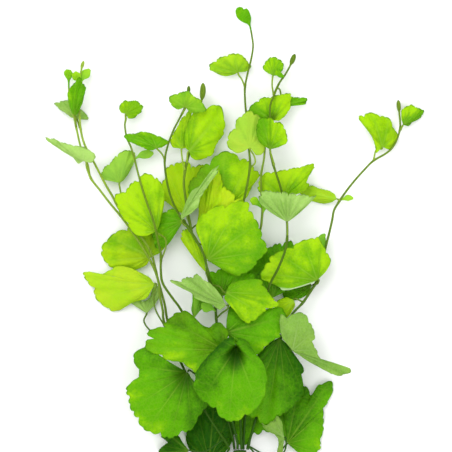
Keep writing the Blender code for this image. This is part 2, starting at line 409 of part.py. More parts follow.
# Young leaves that grow from a stem as one piece with it: middle line from the stem out,
# with half the blade's width in mm at each point.
YOUNG_LEAVES = in_mm({
    "far_left_bud": dict(stem="stem_far_left", points=[
        (69, 88, 5, 0.4), (69, 81, 5.5, 0.6), (69, 77, 6, 1.7), (68.5, 73, 6.5, 2.2), (69, 70, 7, 1.2)]),
    "far_left_cup": dict(stem="stem_left", points=[
        (80, 88, 6, 0.4), (80, 81, 6.4, 0.8), (77, 77, 6.8, 2.3), (74, 73, 7.4, 1.4)]),
    "far_left_cup_right": dict(stem="stem_left", points=[
        (80.3, 85, 6, 0.4), (82, 79, 5.6, 1.2), (86, 74, 5, 2.4), (90, 69.5, 4.6, 0.7)]),
    "left_center_young": dict(stem="stem_left_center", points=[
        (134.6, 160, 9.6, 0.4), (138, 157, 8, 0.7), (143, 155, 6.6, 2), (149, 154, 5, 2),
        (153.5, 153, 5, 0.6)]),
    "tall_tip": dict(stem="stem_tall", points=[
        (251.5, 33, 4.6, 0.4), (249.5, 25, 5, 0.6), (247, 20, 5.5, 2.4), (243, 14.5, 6, 3.4),
        (240.5, 10.5, 6.4, 2.6), (241, 7.5, 6.7, 0.8)]),
    "center_right_young": dict(stem="stem_center_right", points=[
        (262.2, 214, 13, 0.4), (264, 209, 13.3, 0.9), (266, 204, 13.6, 3), (270, 199, 14, 2.6),
        (274, 196, 14.3, 0.7)]),
    "center_right_young_left": dict(stem="stem_center_right", points=[
        (262, 208, 13, 0.4), (258, 204, 13.2, 1.2), (254, 201, 13.4, 2.2), (250, 200, 13.4, 0.7)]),
    "far_right_young": dict(stem="stem_far_right", points=[
        (340, 200, 6.6, 0.4), (343.5, 199, 6.3, 0.7), (347, 198, 6, 1.6), (350, 198, 5.8, 1.3),
        (353, 198.5, 5.6, 0.5)]),
    "far_right_dark_young": dict(stem="stem_far_right", points=[
        (324.6, 250, 7.8, 0.4), (323, 246, 7.2, 1.4), (321.5, 241, 6.6, 2.2), (322.5, 237, 6, 1.7),
        (325, 234, 5.8, 0.5)]),
    "right_center_young": dict(stem="stem_right_center", points=[
        (284, 77, 7, 0.4), (281, 76, 8, 1.2), (277.5, 73, 8.6, 1.3), (276, 71, 8.9, 0.4)]),
    "center_left_young": dict(stem="stem_center_left", points=[
        (215.5, 311, 14.8, 0.4), (213, 309, 15.2, 0.8), (209, 307, 15.5, 2.6), (204, 306, 15.7, 2.6),
        (201, 306, 15.8, 0.8)]),
})


def vec(values):
    """A place in mm, measured up from the cut end, as a vector from the middle of the bunch."""
    x, y, z = values
    return np.array((x, y - MIDDLE_Y, z), dtype=float)


def unit(vector):
    return vector / np.linalg.norm(vector)


def distance_to_line(point, line):
    """Distance from a point to a polyline."""
    starts, steps = line[:-1], np.diff(line, axis=0)
    share = np.clip(((point - starts) * steps).sum(1) / (steps**2).sum(1), 0, 1)
    return np.linalg.norm(starts + share[:, None] * steps - point, axis=1).min()


def cut_at_parent(path, parent_line, clearance):
    """The path from its first point on, up to where it comes near the parent's centre line."""
    path = list(path)
    while len(path) > 2 and distance_to_line(path[-2], parent_line) < clearance:
        path.pop()
    start, end = path[-2], path[-1]
    share = 1.0
    while share > 2 * CUT_STEP and distance_to_line(start + share * (end - start), parent_line) < clearance:
        share -= CUT_STEP
    return np.array(path[:-1] + [start + share * (end - start)])


def frames(path, first_side):
    """A pair of axes across the path at each of its points, turning as little as they can."""
    tangents = np.gradient(path, axis=0)
    side = first_side
    rows = []
    for tangent in tangents:
        tangent = unit(tangent)
        side = unit(side - tangent * side.dot(tangent))
        rows.append((side, np.cross(tangent, side)))
    return rows


def add_object(name, vertices, faces, material):
    mesh = bpy.data.meshes.new(name)
    mesh.from_pydata([tuple(v * MM) for v in vertices], [], faces)
    edit = bmesh.new()
    edit.from_mesh(mesh)
    bmesh.ops.recalc_face_normals(edit, faces=edit.faces)
    if edit.calc_volume(signed=True) < 0:
        bmesh.ops.reverse_faces(edit, faces=edit.faces)
    edit.to_mesh(mesh)
    edit.free()
    mesh.shade_smooth()
    mesh.set_sharp_from_angle(angle=math.radians(SHARP_ANGLE))
    mesh.materials.append(material)
    obj = bpy.data.objects.new(name, mesh)
    bpy.context.scene.collection.objects.link(obj)
    return obj


def make_material(name, colour, roughness):
    material = bpy.data.materials.new(name)
    material.use_nodes = True
    shader = material.node_tree.nodes["Principled BSDF"]
    shader.inputs["Base Color"].default_value = (*colour, 1)
    shader.inputs["Roughness"].default_value = roughness
    shader.inputs["Metallic"].default_value = 0
    return material


def blade_frame(leaf):
    """Hub, midrib vector, the two side vectors and the blade's upward normal."""
    hub, tip, side_a, side_b = (vec(leaf[key]) for key in ("hub", "tip", "a", "b"))
    normal = unit(np.cross(side_b - side_a, tip - hub))
    if normal[2] < 0:
        normal = -normal
    return hub, tip - hub, side_a - hub, side_b - hub, normal


def cross(a, b):
    return a[0] * b[1] - a[1] * b[0]


def rim_place(leaf, frame, point):
    """Turn from the midrib, positive on side a, and reach of a point of the rim seen from above."""
    hub, midrib, side_a, side_b, _ = frame
    away = vec((*point, 0)) - hub
    on_a = cross(midrib, away) * cross(midrib, side_a) > 0
    side = side_a if on_a else side_b
    along = cross(away, side) / cross(midrib, side)
    if along < 0:
        along /= leaf.get("back", BLADE_BACK)
    swing = math.atan2(cross(midrib, away) / cross(midrib, side), along)
    return swing if on_a else -swing, math.hypot(along, cross(midrib, away) / cross(midrib, side))


def rim_vector(leaf, frame, angle, share):
    """From the hub to the rim, in the bent plane through midrib and sides."""
    _, midrib, side_a, side_b, _ = frame
    swing = abs(angle)
    side = side_a if angle > 0 else side_b
    along = midrib if swing < math.pi / 2 else midrib * leaf.get("back", BLADE_BACK)
    return (math.cos(swing) * along + math.sin(swing) * side) * share


def blade_point(leaf, frame, angle, share, reach):
    hub, normal = frame[0], frame[4]
    rim = rim_vector(leaf, frame, angle, share)
    size = min(1.0, np.linalg.norm(rim) / FULL_RELIEF)
    dome = leaf.get("bulge", DOME_HEIGHT) * size * 4 * reach * (1 - reach)
    hollow = leaf.get("funnel", 0) * max(0.0, 1 - reach / 0.4) ** 2
    wave = leaf.get("wave", WAVE_HEIGHT) * size * reach**2 * math.sin(WAVES * angle + leaf.get("turn", 0))
    return hub + rim * reach + normal * (dome - hollow + wave)


def blade_surface(leaf, reaches):
    """Middle surface of a blade: points[column][ring] from notch to notch, with no ring for the hub."""
    frame = blade_frame(leaf)
    places = [rim_place(leaf, frame, point) for point in reversed(leaf["rim_b"])] + [(0.0, 1.0)]
    places += [rim_place(leaf, frame, point) for point in leaf["rim_a"]]
    rows = [[blade_point(leaf, frame, angle, share, reach) for reach in reaches] for angle, share in places]
    return np.array(rows), frame


def surface_normals(points, hub, normal):
    """Upward normals of the grid's points, averaged over the faces around each."""
    grid = np.concatenate((np.repeat(hub[None, None], len(points), axis=0), points), axis=1)
    total = np.zeros_like(grid)
    for i in range(grid.shape[0] - 1):
        for k in range(grid.shape[1] - 1):
            a, b, c, d = grid[i, k], grid[i + 1, k], grid[i + 1, k + 1], grid[i, k + 1]
            face = np.cross(c - a, d - b)
            for row, ring in ((i, k), (i + 1, k), (i + 1, k + 1), (i, k + 1)):
                total[row, ring] += face
    total = total[:, 1:]
    flip = np.sign((total * normal).sum(axis=2, keepdims=True))
    flip[flip == 0] = 1
    lengths = np.linalg.norm(total, axis=2, keepdims=True)
    return total * flip / np.maximum(lengths, 1e-9)


def leaf_mesh(leaf, petiole_line):
    """Vertices and faces of one closed leaf: a thin blade whose petiole grows out of its hub."""
    points, frame = blade_surface(leaf, RING_REACH)
    columns = len(points) - 1
    hub, midrib, side_a, side_b, normal = frame
    hub = hub - normal * leaf.get("funnel", 0)
    normals = surface_normals(points, hub, normal)
    across = unit(np.cross(midrib, normal))
    if across.dot(side_a - side_b) < 0:
        across = -across
    half = BLADE_THICKNESS / 2
    rings = points.shape[1]
    vertices, faces = [], []
    for sign in (1, -1):
        vertices += [hub - across * PETIOLE_RADIUS + sign * normal * half,
                     hub + across * PETIOLE_RADIUS + sign * normal * half]
        vertices += list((points + sign * normals * half).reshape(-1, 3))
    layer = 2 + (columns + 1) * rings

    def at(side, column, ring):
        return side * layer + 2 + column * rings + ring

    middle = len(leaf["rim_b"])
    for side in (0, 1):
        base = side * layer
        for column in range(columns):
            start = base if column < middle else base + 1
            faces.append((start, at(side, column, 0), at(side, column + 1, 0)))
            for ring in range(rings - 1):
                faces.append((at(side, column, ring), at(side, column, ring + 1),
                              at(side, column + 1, ring + 1), at(side, column + 1, ring)))
        faces.append((base, at(side, middle, 0), base + 1))
    for column in range(columns):
        faces.append((at(0, column, rings - 1), at(1, column, rings - 1),
                      at(1, column + 1, rings - 1), at(0, column + 1, rings - 1)))
    for column, start in ((0, 0), (columns, 1)):
        previous = (start, layer + start)
        for ring in range(rings):
            current = (at(0, column, ring), at(1, column, ring))
            faces.append((previous[0], current[0], current[1], previous[1]))
            previous = current
    ring = [0, 1, layer + 1, layer]
    rings_across = frames(petiole_line, across)
    turned = -1 if rings_across[0][1].dot(normal) < 0 else 1
    for centre, (side, up) in list(zip(petiole_line, rings_across))[1:]:
        up = up * turned
        start = len(vertices)
        for s, u in ((-1, 1), (1, 1), (1, -1), (-1, -1)):
            vertices.append(centre + PETIOLE_RADIUS * PETIOLE_SQUARE * (s * side + u * up))
        new = [start, start + 1, start + 2, start + 3]
        for k in range(4):
            faces.append((ring[k], ring[(k + 1) % 4], new[(k + 1) % 4], new[k]))
        ring = new
    faces.append(tuple(ring))
    return vertices, faces


def petiole_route(leaf):
    """From the hub, above or below the blade, through the leaf's own points to the stem."""
    hub, midrib, _, _, normal = blade_frame(leaf)
    hub = hub - normal * leaf.get("funnel", 0)
    points = [vec(p) for p in leaf["petiole"]]
    side = 1 if (points[0] - hub).dot(normal) > 0 else -1
    behind, away = PETIOLE_START
    return [hub, hub - unit(midrib) * behind + side * normal * away] + points


def make_leaf(name, leaf, stem_lines, material):
    clearance = STEM_RADIUS + GAP + PETIOLE_RADIUS * PETIOLE_SQUARE
    line = cut_at_parent(petiole_route(leaf), stem_lines[leaf["stem"]], clearance)
    vertices, faces = leaf_mesh(leaf, line)
    return add_object(name, vertices, faces, material)


def tube_mesh(line, widths, heights, sides):
    """A tube with an elliptical section: half its width and half its height at each point of the line."""
    vertices, faces = [], []
    across = np.cross(line[-1] - line[0], (0.0, 0.0, 1.0))
    for centre, width, height, (side, up) in zip(line, widths, heights, frames(line, across)):
        for k in range(sides):
            turn = 2 * math.pi * k / sides
            vertices.append(centre + width * math.cos(turn) * side + height * math.sin(turn) * up)
    for ring in range(len(line) - 1):
        for k in range(sides):
            a, b = ring * sides + k, ring * sides + (k + 1) % sides
            faces.append((a, b, b + sides, a + sides))
    faces.append(tuple(range(sides)))
    faces.append(tuple(range(len(vertices) - sides, len(vertices))))
    return vertices, faces


def stem_radius(stem, distance, length):
    """Radius at a distance from the tip: a closed bud at the tip where there is one, then a slow swelling."""
    grown = min(1.0, 2 * distance / length)
    radius = STEM_TIP_RADIUS + (STEM_RADIUS - STEM_TIP_RADIUS) * grown
    bud_length, bud_radius = stem.get("bud", (0, 0))
    if distance < bud_length:
        round_bud = bud_radius * math.sqrt(1 - (2 * distance / bud_length - 1) ** 2)
        return max(BUD_TIP_RADIUS, round_bud, radius * distance / bud_length)
    return radius


def stem_line(stem):
    """The stem's centre line from its tip down, stopped just short of the stem it branches from."""
    line = np.array([vec(p) for p in stem["points"]])
    if "parent" in stem:
        parent_line = np.array([vec(p) for p in STEMS[stem["parent"]]["points"]])
        line = cut_at_parent(line, parent_line, STEM_RADIUS + GAP + STEM_RADIUS)
    return line


def make_stem(name, stem, material):
    line = stem_line(stem)
    travelled = np.concatenate(([0], np.cumsum(np.linalg.norm(np.diff(line, axis=0), axis=1))))
    bud_length = stem.get("bud", (0, 0))[0]
    bud_rings = [bud_length * share for share in BUD_RINGS] if bud_length else []
    distances = np.concatenate((bud_rings, travelled[travelled >= bud_length]))
    line = np.stack([np.interp(distances, travelled, line[:, k]) for k in range(3)], axis=1)
    radii = [stem_radius(stem, distance, travelled[-1]) for distance in distances]
    vertices, faces = tube_mesh(line, radii, radii, STEM_SIDES)
    return add_object(name, vertices, faces, material)


def grow_young_leaf(stem, name, points, material):
    """Joins a young leaf, a flattened tube, to its stem with a Boolean union."""
    line = np.array([vec(point[:3]) for point in points])
    widths = [point[3] for point in points]
    heights = [min(YOUNG_THICKNESS / 2, width) for width in widths]
    vertices, faces = tube_mesh(line, widths, heights, YOUNG_SIDES)
    young = add_object(name, vertices, faces, material)
    young.hide_render = True
    young.display_type = "WIRE"
    union = stem.modifiers.new(name, "BOOLEAN")
    union.operation = "UNION"
    union.object = young


def make_stock(material):
    """Short stock that the shoots grow from, lying on the surface with its cut end at the bottom."""
    line = np.array([vec((STOCK_X, up, max(STOCK_RADII))) for up in STOCK_PLACES])
    vertices, faces = tube_mesh(line, STOCK_RADII, STOCK_RADII, STOCK_SIDES)
    return add_object("stem_base", vertices, faces, material)


def main():
    for obj in list(bpy.data.objects):
        bpy.data.objects.remove(obj, do_unlink=True)
    green = make_material("stem_green", STOCK_COLOUR, STEM_ROUGHNESS)
    make_stock(green)
    stem_lines = {name: np.array([vec(p) for p in stem["points"]]) for name, stem in STEMS.items()}
    stems = {}
    for name, stem in STEMS.items():
        stems[name] = make_stem(name, stem, make_material(name, STEM_COLOUR, STEM_ROUGHNESS))
    for name, leaf in YOUNG_LEAVES.items():
        grow_young_leaf(stems[leaf["stem"]], name, leaf["points"], green)
    for name, leaf in LEAVES.items():
        colour = LOWER_COLOUR if leaf.get("under") else UPPER_COLOUR
        make_leaf(name, leaf, stem_lines, make_material(name, colour, LEAF_ROUGHNESS))


main()
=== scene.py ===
"""A cut bunch of cardamine shoots lying on its back on a pale floor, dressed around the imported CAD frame.

Lengths are millimetres, but metres in the lights, the camera and the materials. The tables hold places in the
picture, which place() turns into mm: x across the bunch, y up the bunch from the cut end, z above the floor.
"""
import json
import math

import bpy
import mathutils
import numpy as np
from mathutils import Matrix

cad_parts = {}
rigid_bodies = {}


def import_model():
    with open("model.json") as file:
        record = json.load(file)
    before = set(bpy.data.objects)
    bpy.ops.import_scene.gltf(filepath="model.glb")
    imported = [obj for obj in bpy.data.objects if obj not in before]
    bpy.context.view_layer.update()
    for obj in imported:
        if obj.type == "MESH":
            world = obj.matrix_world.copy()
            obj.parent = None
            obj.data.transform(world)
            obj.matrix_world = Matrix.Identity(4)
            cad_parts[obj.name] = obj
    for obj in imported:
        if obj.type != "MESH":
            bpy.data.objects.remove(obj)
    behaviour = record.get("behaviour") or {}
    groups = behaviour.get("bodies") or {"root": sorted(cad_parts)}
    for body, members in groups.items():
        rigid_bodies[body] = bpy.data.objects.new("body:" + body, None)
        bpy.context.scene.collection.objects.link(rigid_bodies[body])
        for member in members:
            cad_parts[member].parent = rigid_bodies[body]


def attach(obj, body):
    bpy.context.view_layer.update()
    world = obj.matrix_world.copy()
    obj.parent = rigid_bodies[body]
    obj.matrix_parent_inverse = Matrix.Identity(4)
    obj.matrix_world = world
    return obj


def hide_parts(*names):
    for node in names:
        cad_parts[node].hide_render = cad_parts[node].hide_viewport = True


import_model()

MM = 0.001
MIDDLE_Y = 116.0  # mm from the cut end to the middle of the bunch

# Form of the blades. Heights are in mm where the blade is large, and reach is a share of the way to the rim.
THICKNESS = 0.3
RIM_THICKNESS = 0.12
LOWEST_BLADE = 0.2  # above the floor, in the middle of the blade's thickness
RINGS = 24
FIRST_RING = 0.03  # its reach
RING_SPREAD = 0.85  # under 1, the rings lie closer toward the rim
LOBES = 7
COLUMNS_PER_LOBE = 14
SCALLOP_DEPTH = 0.048
SMALL_SCALLOP_DEPTH = 0.02
SMALL_SCALLOPS = 3  # in each lobe
UNEVEN = 0.015  # how far the rim strays from an even curve, as a share of its reach
FULL_RELIEF = 14.0  # where the blade reaches this far from its hub, its relief has its full height
BLADE_BACK = 0.35  # how far a blade reaches behind its hub, as a share of its reach ahead of it
DOME_HEIGHT = 1.2
HOLLOW_REACH = 0.4
WAVE_HEIGHT = 0.5
WAVES = 5  # around the hub
RUFFLE_HEIGHT = 0.55  # of the rim
RUFFLES = (6, 10)  # around the hub, large and small
QUILT_HEIGHT = 0.95  # how far the blade swells between its main veins
PUFF_HEIGHT = 0.2  # and between its side veins
SIDE_VEINS = 7.0  # along each main vein
SIDE_VEIN_SLANT = 1.5
VEIN_DEPTH = 0.2
VEIN_WIDTH = 0.55
FOLD_WIDTH = 3.8  # of a rim that curls up and shows its lower face
FOLD_HEIGHT = 1.0
FOLD_END = 0.05  # share of the rim over which a fold starts and ends
UNFOLDED_REACH = 0.3  # a fold fades out inside this reach
THIN_EDGE = 0.125  # share of the reach, inside the rim, over which the blade thins out
PHASE_STEP = 1.7  # from one leaf to the next, so that their rims and ruffles differ
RIM_STEP = 0.1  # between two points of a rim as it is read
CURVE_PARTS = 16  # of a smooth curve between two of its own points, before it is read at equal steps

# Petioles, in mm.
PETIOLE_RADIUS = 0.42
PETIOLE_SIDES = 10
PETIOLE_STEP = 0.7
PETIOLE_START = (1.0, 0.9)  # its first step: behind the hub, and away from the blade
PETIOLE_SWELLING = ((0.35, 1.2), (0.45, 1.0))  # at the hub and at the stem: share of the radius, and length
SHORT_OF_STEM = 0.45  # a petiole that ends farther than this from its stem's middle is led on to it

# Stems, young leaves and the stock, in mm.
STEM_RADIUS = 0.62
STEM_TIP_RADIUS = 0.45
STEM_SIDES = 14
STEM_STEP = 0.8
TIP_LENGTH = 1.5  # over which a stem without a bud tapers
BUD_TIP_RADIUS = 0.12
JOINT_DEPTH = 0.7  # how near to its parent's middle a stem or petiole runs in, as a share of the radius
NODE_SWELLING = 0.22  # share of the radius, where a petiole joins
NODE_LENGTH = 1.4
FULLEST_NODE = 1.35
YOUNG_SIDES = 16
YOUNG_STEP = 0.35
YOUNG_THICKNESS = 0.8
YOUNG_LEAST_WIDTH = 0.25
STOCK_X = 3.0
STOCK_SIDES = 48
STOCK_GROOVES = 9  # around it
GROOVE_DEPTH = 0.05
STOCK_PROFILE = (  # up from the cut end, and radius
    (0.0, 2.2), (0.12, 2.5), (0.5, 2.62), (2.5, 2.95), (5.0, 3.4), (6.2, 3.5),
    (7.0, 3.3), (8.0, 3.35), (9.5, 3.4), (10.5, 3.3), (11.0, 3.0),
)
STOCK_LENGTH = STOCK_PROFILE[-1][0]
STOCK_RADIUS = max(radius for _, radius in STOCK_PROFILE)

# Colours as seen, 0 to 255. Those of a leaf face: dark, middle, bright, warm tint, veins, margin.
UPPER_COLOURS = ((16, 84, 0), (98, 178, 0), (176, 228, 6), (214, 232, 34), (188, 228, 78), (74, 126, 10))
LOWER_COLOURS = (
    (84, 142, 44), (146, 194, 80), (184, 222, 118), (200, 228, 100), (214, 236, 160), (112, 154, 60),
)
UPPER_GLOW = (190, 232, 4)  # of the light that comes through a blade
LOWER_GLOW = (205, 232, 120)
FADED_COLOUR = (164, 214, 96)
# painted shade that falls in the hollow at a leaf's hub, mixed in by the leaf's shade value
HOLLOW_SHADE_COLOUR = (8, 58, 0)
FOLD_COLOUR = (206, 232, 176)
STEM_COLOURS = ((36, 78, 2), (88, 117, 16), (150, 179, 56))  # deep, skin, light
PITH_COLOURS = ((206, 222, 150), (168, 194, 96))
SHARE_THROUGH = 0.35  # of the light that a blade lets through

# Skins. Scales of patterns are per metre, reliefs are strength and depth in metres, the bounds of main veins
# and margins are mm, and the rest are shares. Tones run from 0, dark, to 1, bright, and a few go past 1.
PATCH_SCALE = 105.0
WARM_SCALE = 90.0
SPECK_SCALE = 900.0
NET_SCALE = 620.0
STREAK_SCALE = 2600.0  # on stems
STREAK_STRETCH = 0.06
PITH_SCALE = 1500.0
PITH_RELIEF_SCALE = 2400.0
SPECKS_SHOW = 0.3
TONE_BY_REACH = (0.76, 1.08)  # factors at the hub and at the rim
# painted shade in the grooves of the main veins and painted light on the swells between them, as factors on
# the tone
VEIN_SHADE_AND_LIGHT = (0.9, 1.06)  # factors on a main vein and between two
MAIN_VEIN_BOUNDS = (0.12, 0.62)
MARGIN_BOUNDS = (0.05, 0.8)
SIDE_VEIN_WIDTH = 0.09
NET_WIDTH = 0.16
MAIN_VEINS_SHOW = 0.4
SIDE_VEINS_SHOW = 0.2
UPPER_NET_SHOWS = 0.12
LOWER_NET_SHOWS = 0.2
RELIEF_OF = {"main": -1.0, "side": -0.6, "net": -0.25, "specks": 0.5}
LEAF_RELIEF = (0.6, 0.0003)
STEM_RELIEF = (0.35, 0.0001)
CUT_RELIEF = (0.5, 0.0002)
UPPER_ROUGHNESS = 0.42
LOWER_ROUGHNESS = 0.55
STEM_ROUGHNESS = (0.32, 0.48)
CUT_ROUGHNESS = 0.6
LEAF_SPECULAR = 0.07
STEM_SPECULAR = 0.12
PLAIN_SPECULAR = 0.5
STEMS_DARKEN = (-0.095, 0.06)  # metres up the bunch: fully dark, and not at all

# Stage and camera, in metres. The picture's width and middle are in pixels.
FLOOR_COLOUR = (0.96, 0.96, 0.96, 1.0)
FLOOR_REACH = 3.0
FLOOR_ROUGHNESS = 0.9
SKY_STRENGTH = 0.88
KEY_LIGHT = dict(at=(-0.5, 0.5, 1.1), size=1.2, power=9.5)
FILL_LIGHT = dict(at=(0.7, -0.5, 0.9), size=0.8, power=4.0)
PICTURE_PIXELS = 452.0
PICTURE_MIDDLE = (226.0, 226.0)
CAMERA_HEIGHT = 4.0
SENSOR_WIDTH = 36.0  # mm
CLIP = (0.1, 20.0)

# Places are read off the 452-pixel picture: pixels across, pixels down, then mm above the surface.
FRONT_LEAF_LENGTH = 40.0  # mm, of leaf_low_front
FRONT_LEAF_PIXELS = 80.0  # of the same leaf in the picture, rounded
PIXEL = FRONT_LEAF_LENGTH / FRONT_LEAF_PIXELS  # mm
MIDDLE_COLUMN = 234.0  # of the picture, over the middle of the bunch
CUT_END_ROW = 472.0  # of the picture, a little below its lower edge


def place(across, down, *rest):
    """A place in the picture as mm: x across the bunch, y up the bunch from the cut end."""
    return ((across - MIDDLE_COLUMN) * PIXEL, (CUT_END_ROW - down) * PIXEL, *rest)


def in_mm(rows):
    """A table with every place in its rows turned into mm."""
    turned = {name: dict(row) for name, row in rows.items()}
    for row in turned.values():
        for key in {"hub", "tip", "a", "b"} & set(row):
            row[key] = place(*row[key])
        for key in {"points", "rim_a", "rim_b", "petiole"} & set(row):
            row[key] = [place(*point) for point in row[key]]
    return turned


# Each stem: its tone, the stem that it forks from, the length and radius of its bud, and its centre line
# from the tip down.
STEMS = in_mm({
    "stem_far_left": dict(tone=0.85, points=[
        (69, 82, 5), (69, 90, 5), (70, 100, 6), (74, 116, 7.2), (77, 130, 7.2), (81, 147, 7),
        (88, 165, 7.8), (91, 178, 8.6), (100, 190, 10), (110, 203, 11), (120, 215, 10.5), (130, 228, 11),
        (138, 240, 12), (148, 256, 13.3), (155, 270, 14.5), (159, 283, 14.5), (160, 295, 14.5),
        (163, 310, 14), (165, 324, 13), (180, 360, 11.5), (205, 410, 8.5), (226, 442, 6), (229, 449, 5.2)]),
    "stem_left": dict(tone=0.85, parent="stem_far_left", bud=(4.5, 0.9), points=[
        (84, 61, 8), (82, 68, 7), (80, 80, 6), (79, 95, 6), (80, 118, 7), (81, 130, 7.2), (85, 145, 7.6),
        (95, 164, 8), (106, 185, 8), (113, 197, 8), (119, 208, 8.5), (133, 226, 9.5), (150, 250, 11),
        (157, 275, 11.5), (161, 290, 11.5), (165, 305, 11.5), (168, 322, 11), (176, 345, 11)]),
    "stem_left_center": dict(tone=0.5, points=[
        (126, 119, 5), (125, 126, 5.5), (127, 138, 6.5), (131, 147, 7.2), (135, 160, 9.8), (138, 172, 14.5),
        (143, 190, 17), (148, 205, 17.2), (154, 222, 16.8), (158, 240, 14.8), (161, 255, 12.6),
        (161, 270, 12.5), (163, 283, 13.5), (172, 297, 13.5), (182, 311, 13), (200, 345, 11.5),
        (222, 400, 8), (232, 435, 5.2), (234.5, 449, 2.6)]),
    "stem_center_left": dict(tone=0.2, bud=(4, 0.9), points=[
        (189, 86, 11), (188, 97, 11), (184, 110, 12), (178, 122, 13.5), (173, 132, 13.5), (168, 146, 13.5),
        (165, 160, 13.5), (166, 175, 14), (169, 190, 14.5), (173, 202, 15), (180, 216, 15.5),
        (190, 230, 18), (202, 250, 24), (206, 262, 25.5), (208, 273, 25), (211, 285, 19.5), (215, 305, 15),
        (217, 325, 14), (222, 360, 13), (230, 410, 9.5), (237, 440, 6.5), (237.5, 449, 5.8)]),
    "stem_center_fork": dict(tone=0.4, parent="stem_center_left", bud=(9, 1.5), points=[
        (203, 83, 8), (203, 90, 7.5), (202, 99, 6), (199, 115, 4.5), (194, 140, 5), (190, 152, 7),
        (187, 162, 9.5), (185, 172, 12), (184, 185, 13), (186, 200, 13.5), (188, 212, 14.5),
        (192, 232, 17.4)]),
    "stem_tall": dict(tone=0.3, points=[
        (250, 26, 4.5), (252, 37, 4.8), (253, 47, 5.2), (251, 60, 5.6), (248, 72, 6), (245, 87, 7),
        (245, 100, 8), (246, 113, 9), (248, 132, 10.5), (249, 150, 12.3), (250, 165, 14), (248, 180, 14),
        (245, 195, 13.5), (242, 210, 13), (239, 240, 12.5), (236, 280, 12), (236, 330, 11), (239, 390, 9),
        (241, 435, 7), (241.5, 449, 6)]),
    "stem_right_center": dict(tone=0.25, bud=(6, 1.3), points=[
        (295, 54, 5), (290, 66, 5.6), (285, 75, 6.6), (280, 82, 7.6), (276, 90, 9), (273, 98, 10.5),
        (270, 107, 11.8), (270, 125, 12.5), (270, 150, 13), (272, 161, 14), (276, 174, 15), (281, 190, 15),
        (286, 215, 15), (287, 235, 17), (285, 250, 18.3), (278, 268, 19), (270, 284, 17), (262, 310, 14),
        (254, 360, 11), (246, 410, 7), (243.5, 440, 4.6), (243.5, 449, 2.8)]),
    "stem_center_right": dict(tone=0.55, parent="stem_tall", points=[
        (265, 122, 12.6), (265, 140, 12.2), (264, 158, 12.5), (261, 175, 13), (261, 190, 13),
        (262, 205, 13), (262, 215, 13), (260, 230, 12.5), (252, 250, 11.5), (238, 285, 12)]),
    "stem_far_right": dict(tone=0.4, bud=(6, 1.1), points=[
        (398, 100, 4), (399, 112, 3.6), (400, 127, 3.6), (397, 139, 3.6), (392, 148, 3.8), (385, 154, 4),
        (373, 161, 4.5), (364, 170, 5), (355, 180, 5.6), (347, 190, 6.2), (340, 200, 6.6), (334, 210, 7),
        (332, 220, 7.2), (329, 233, 7.6), (326, 245, 7.8), (322, 262, 8), (317, 280, 8.5), (311, 290, 9.5),
        (303, 302, 11), (290, 317, 12), (278, 345, 12), (264, 390, 9.5), (251, 435, 6.5), (247.5, 449, 5.2)]),
})
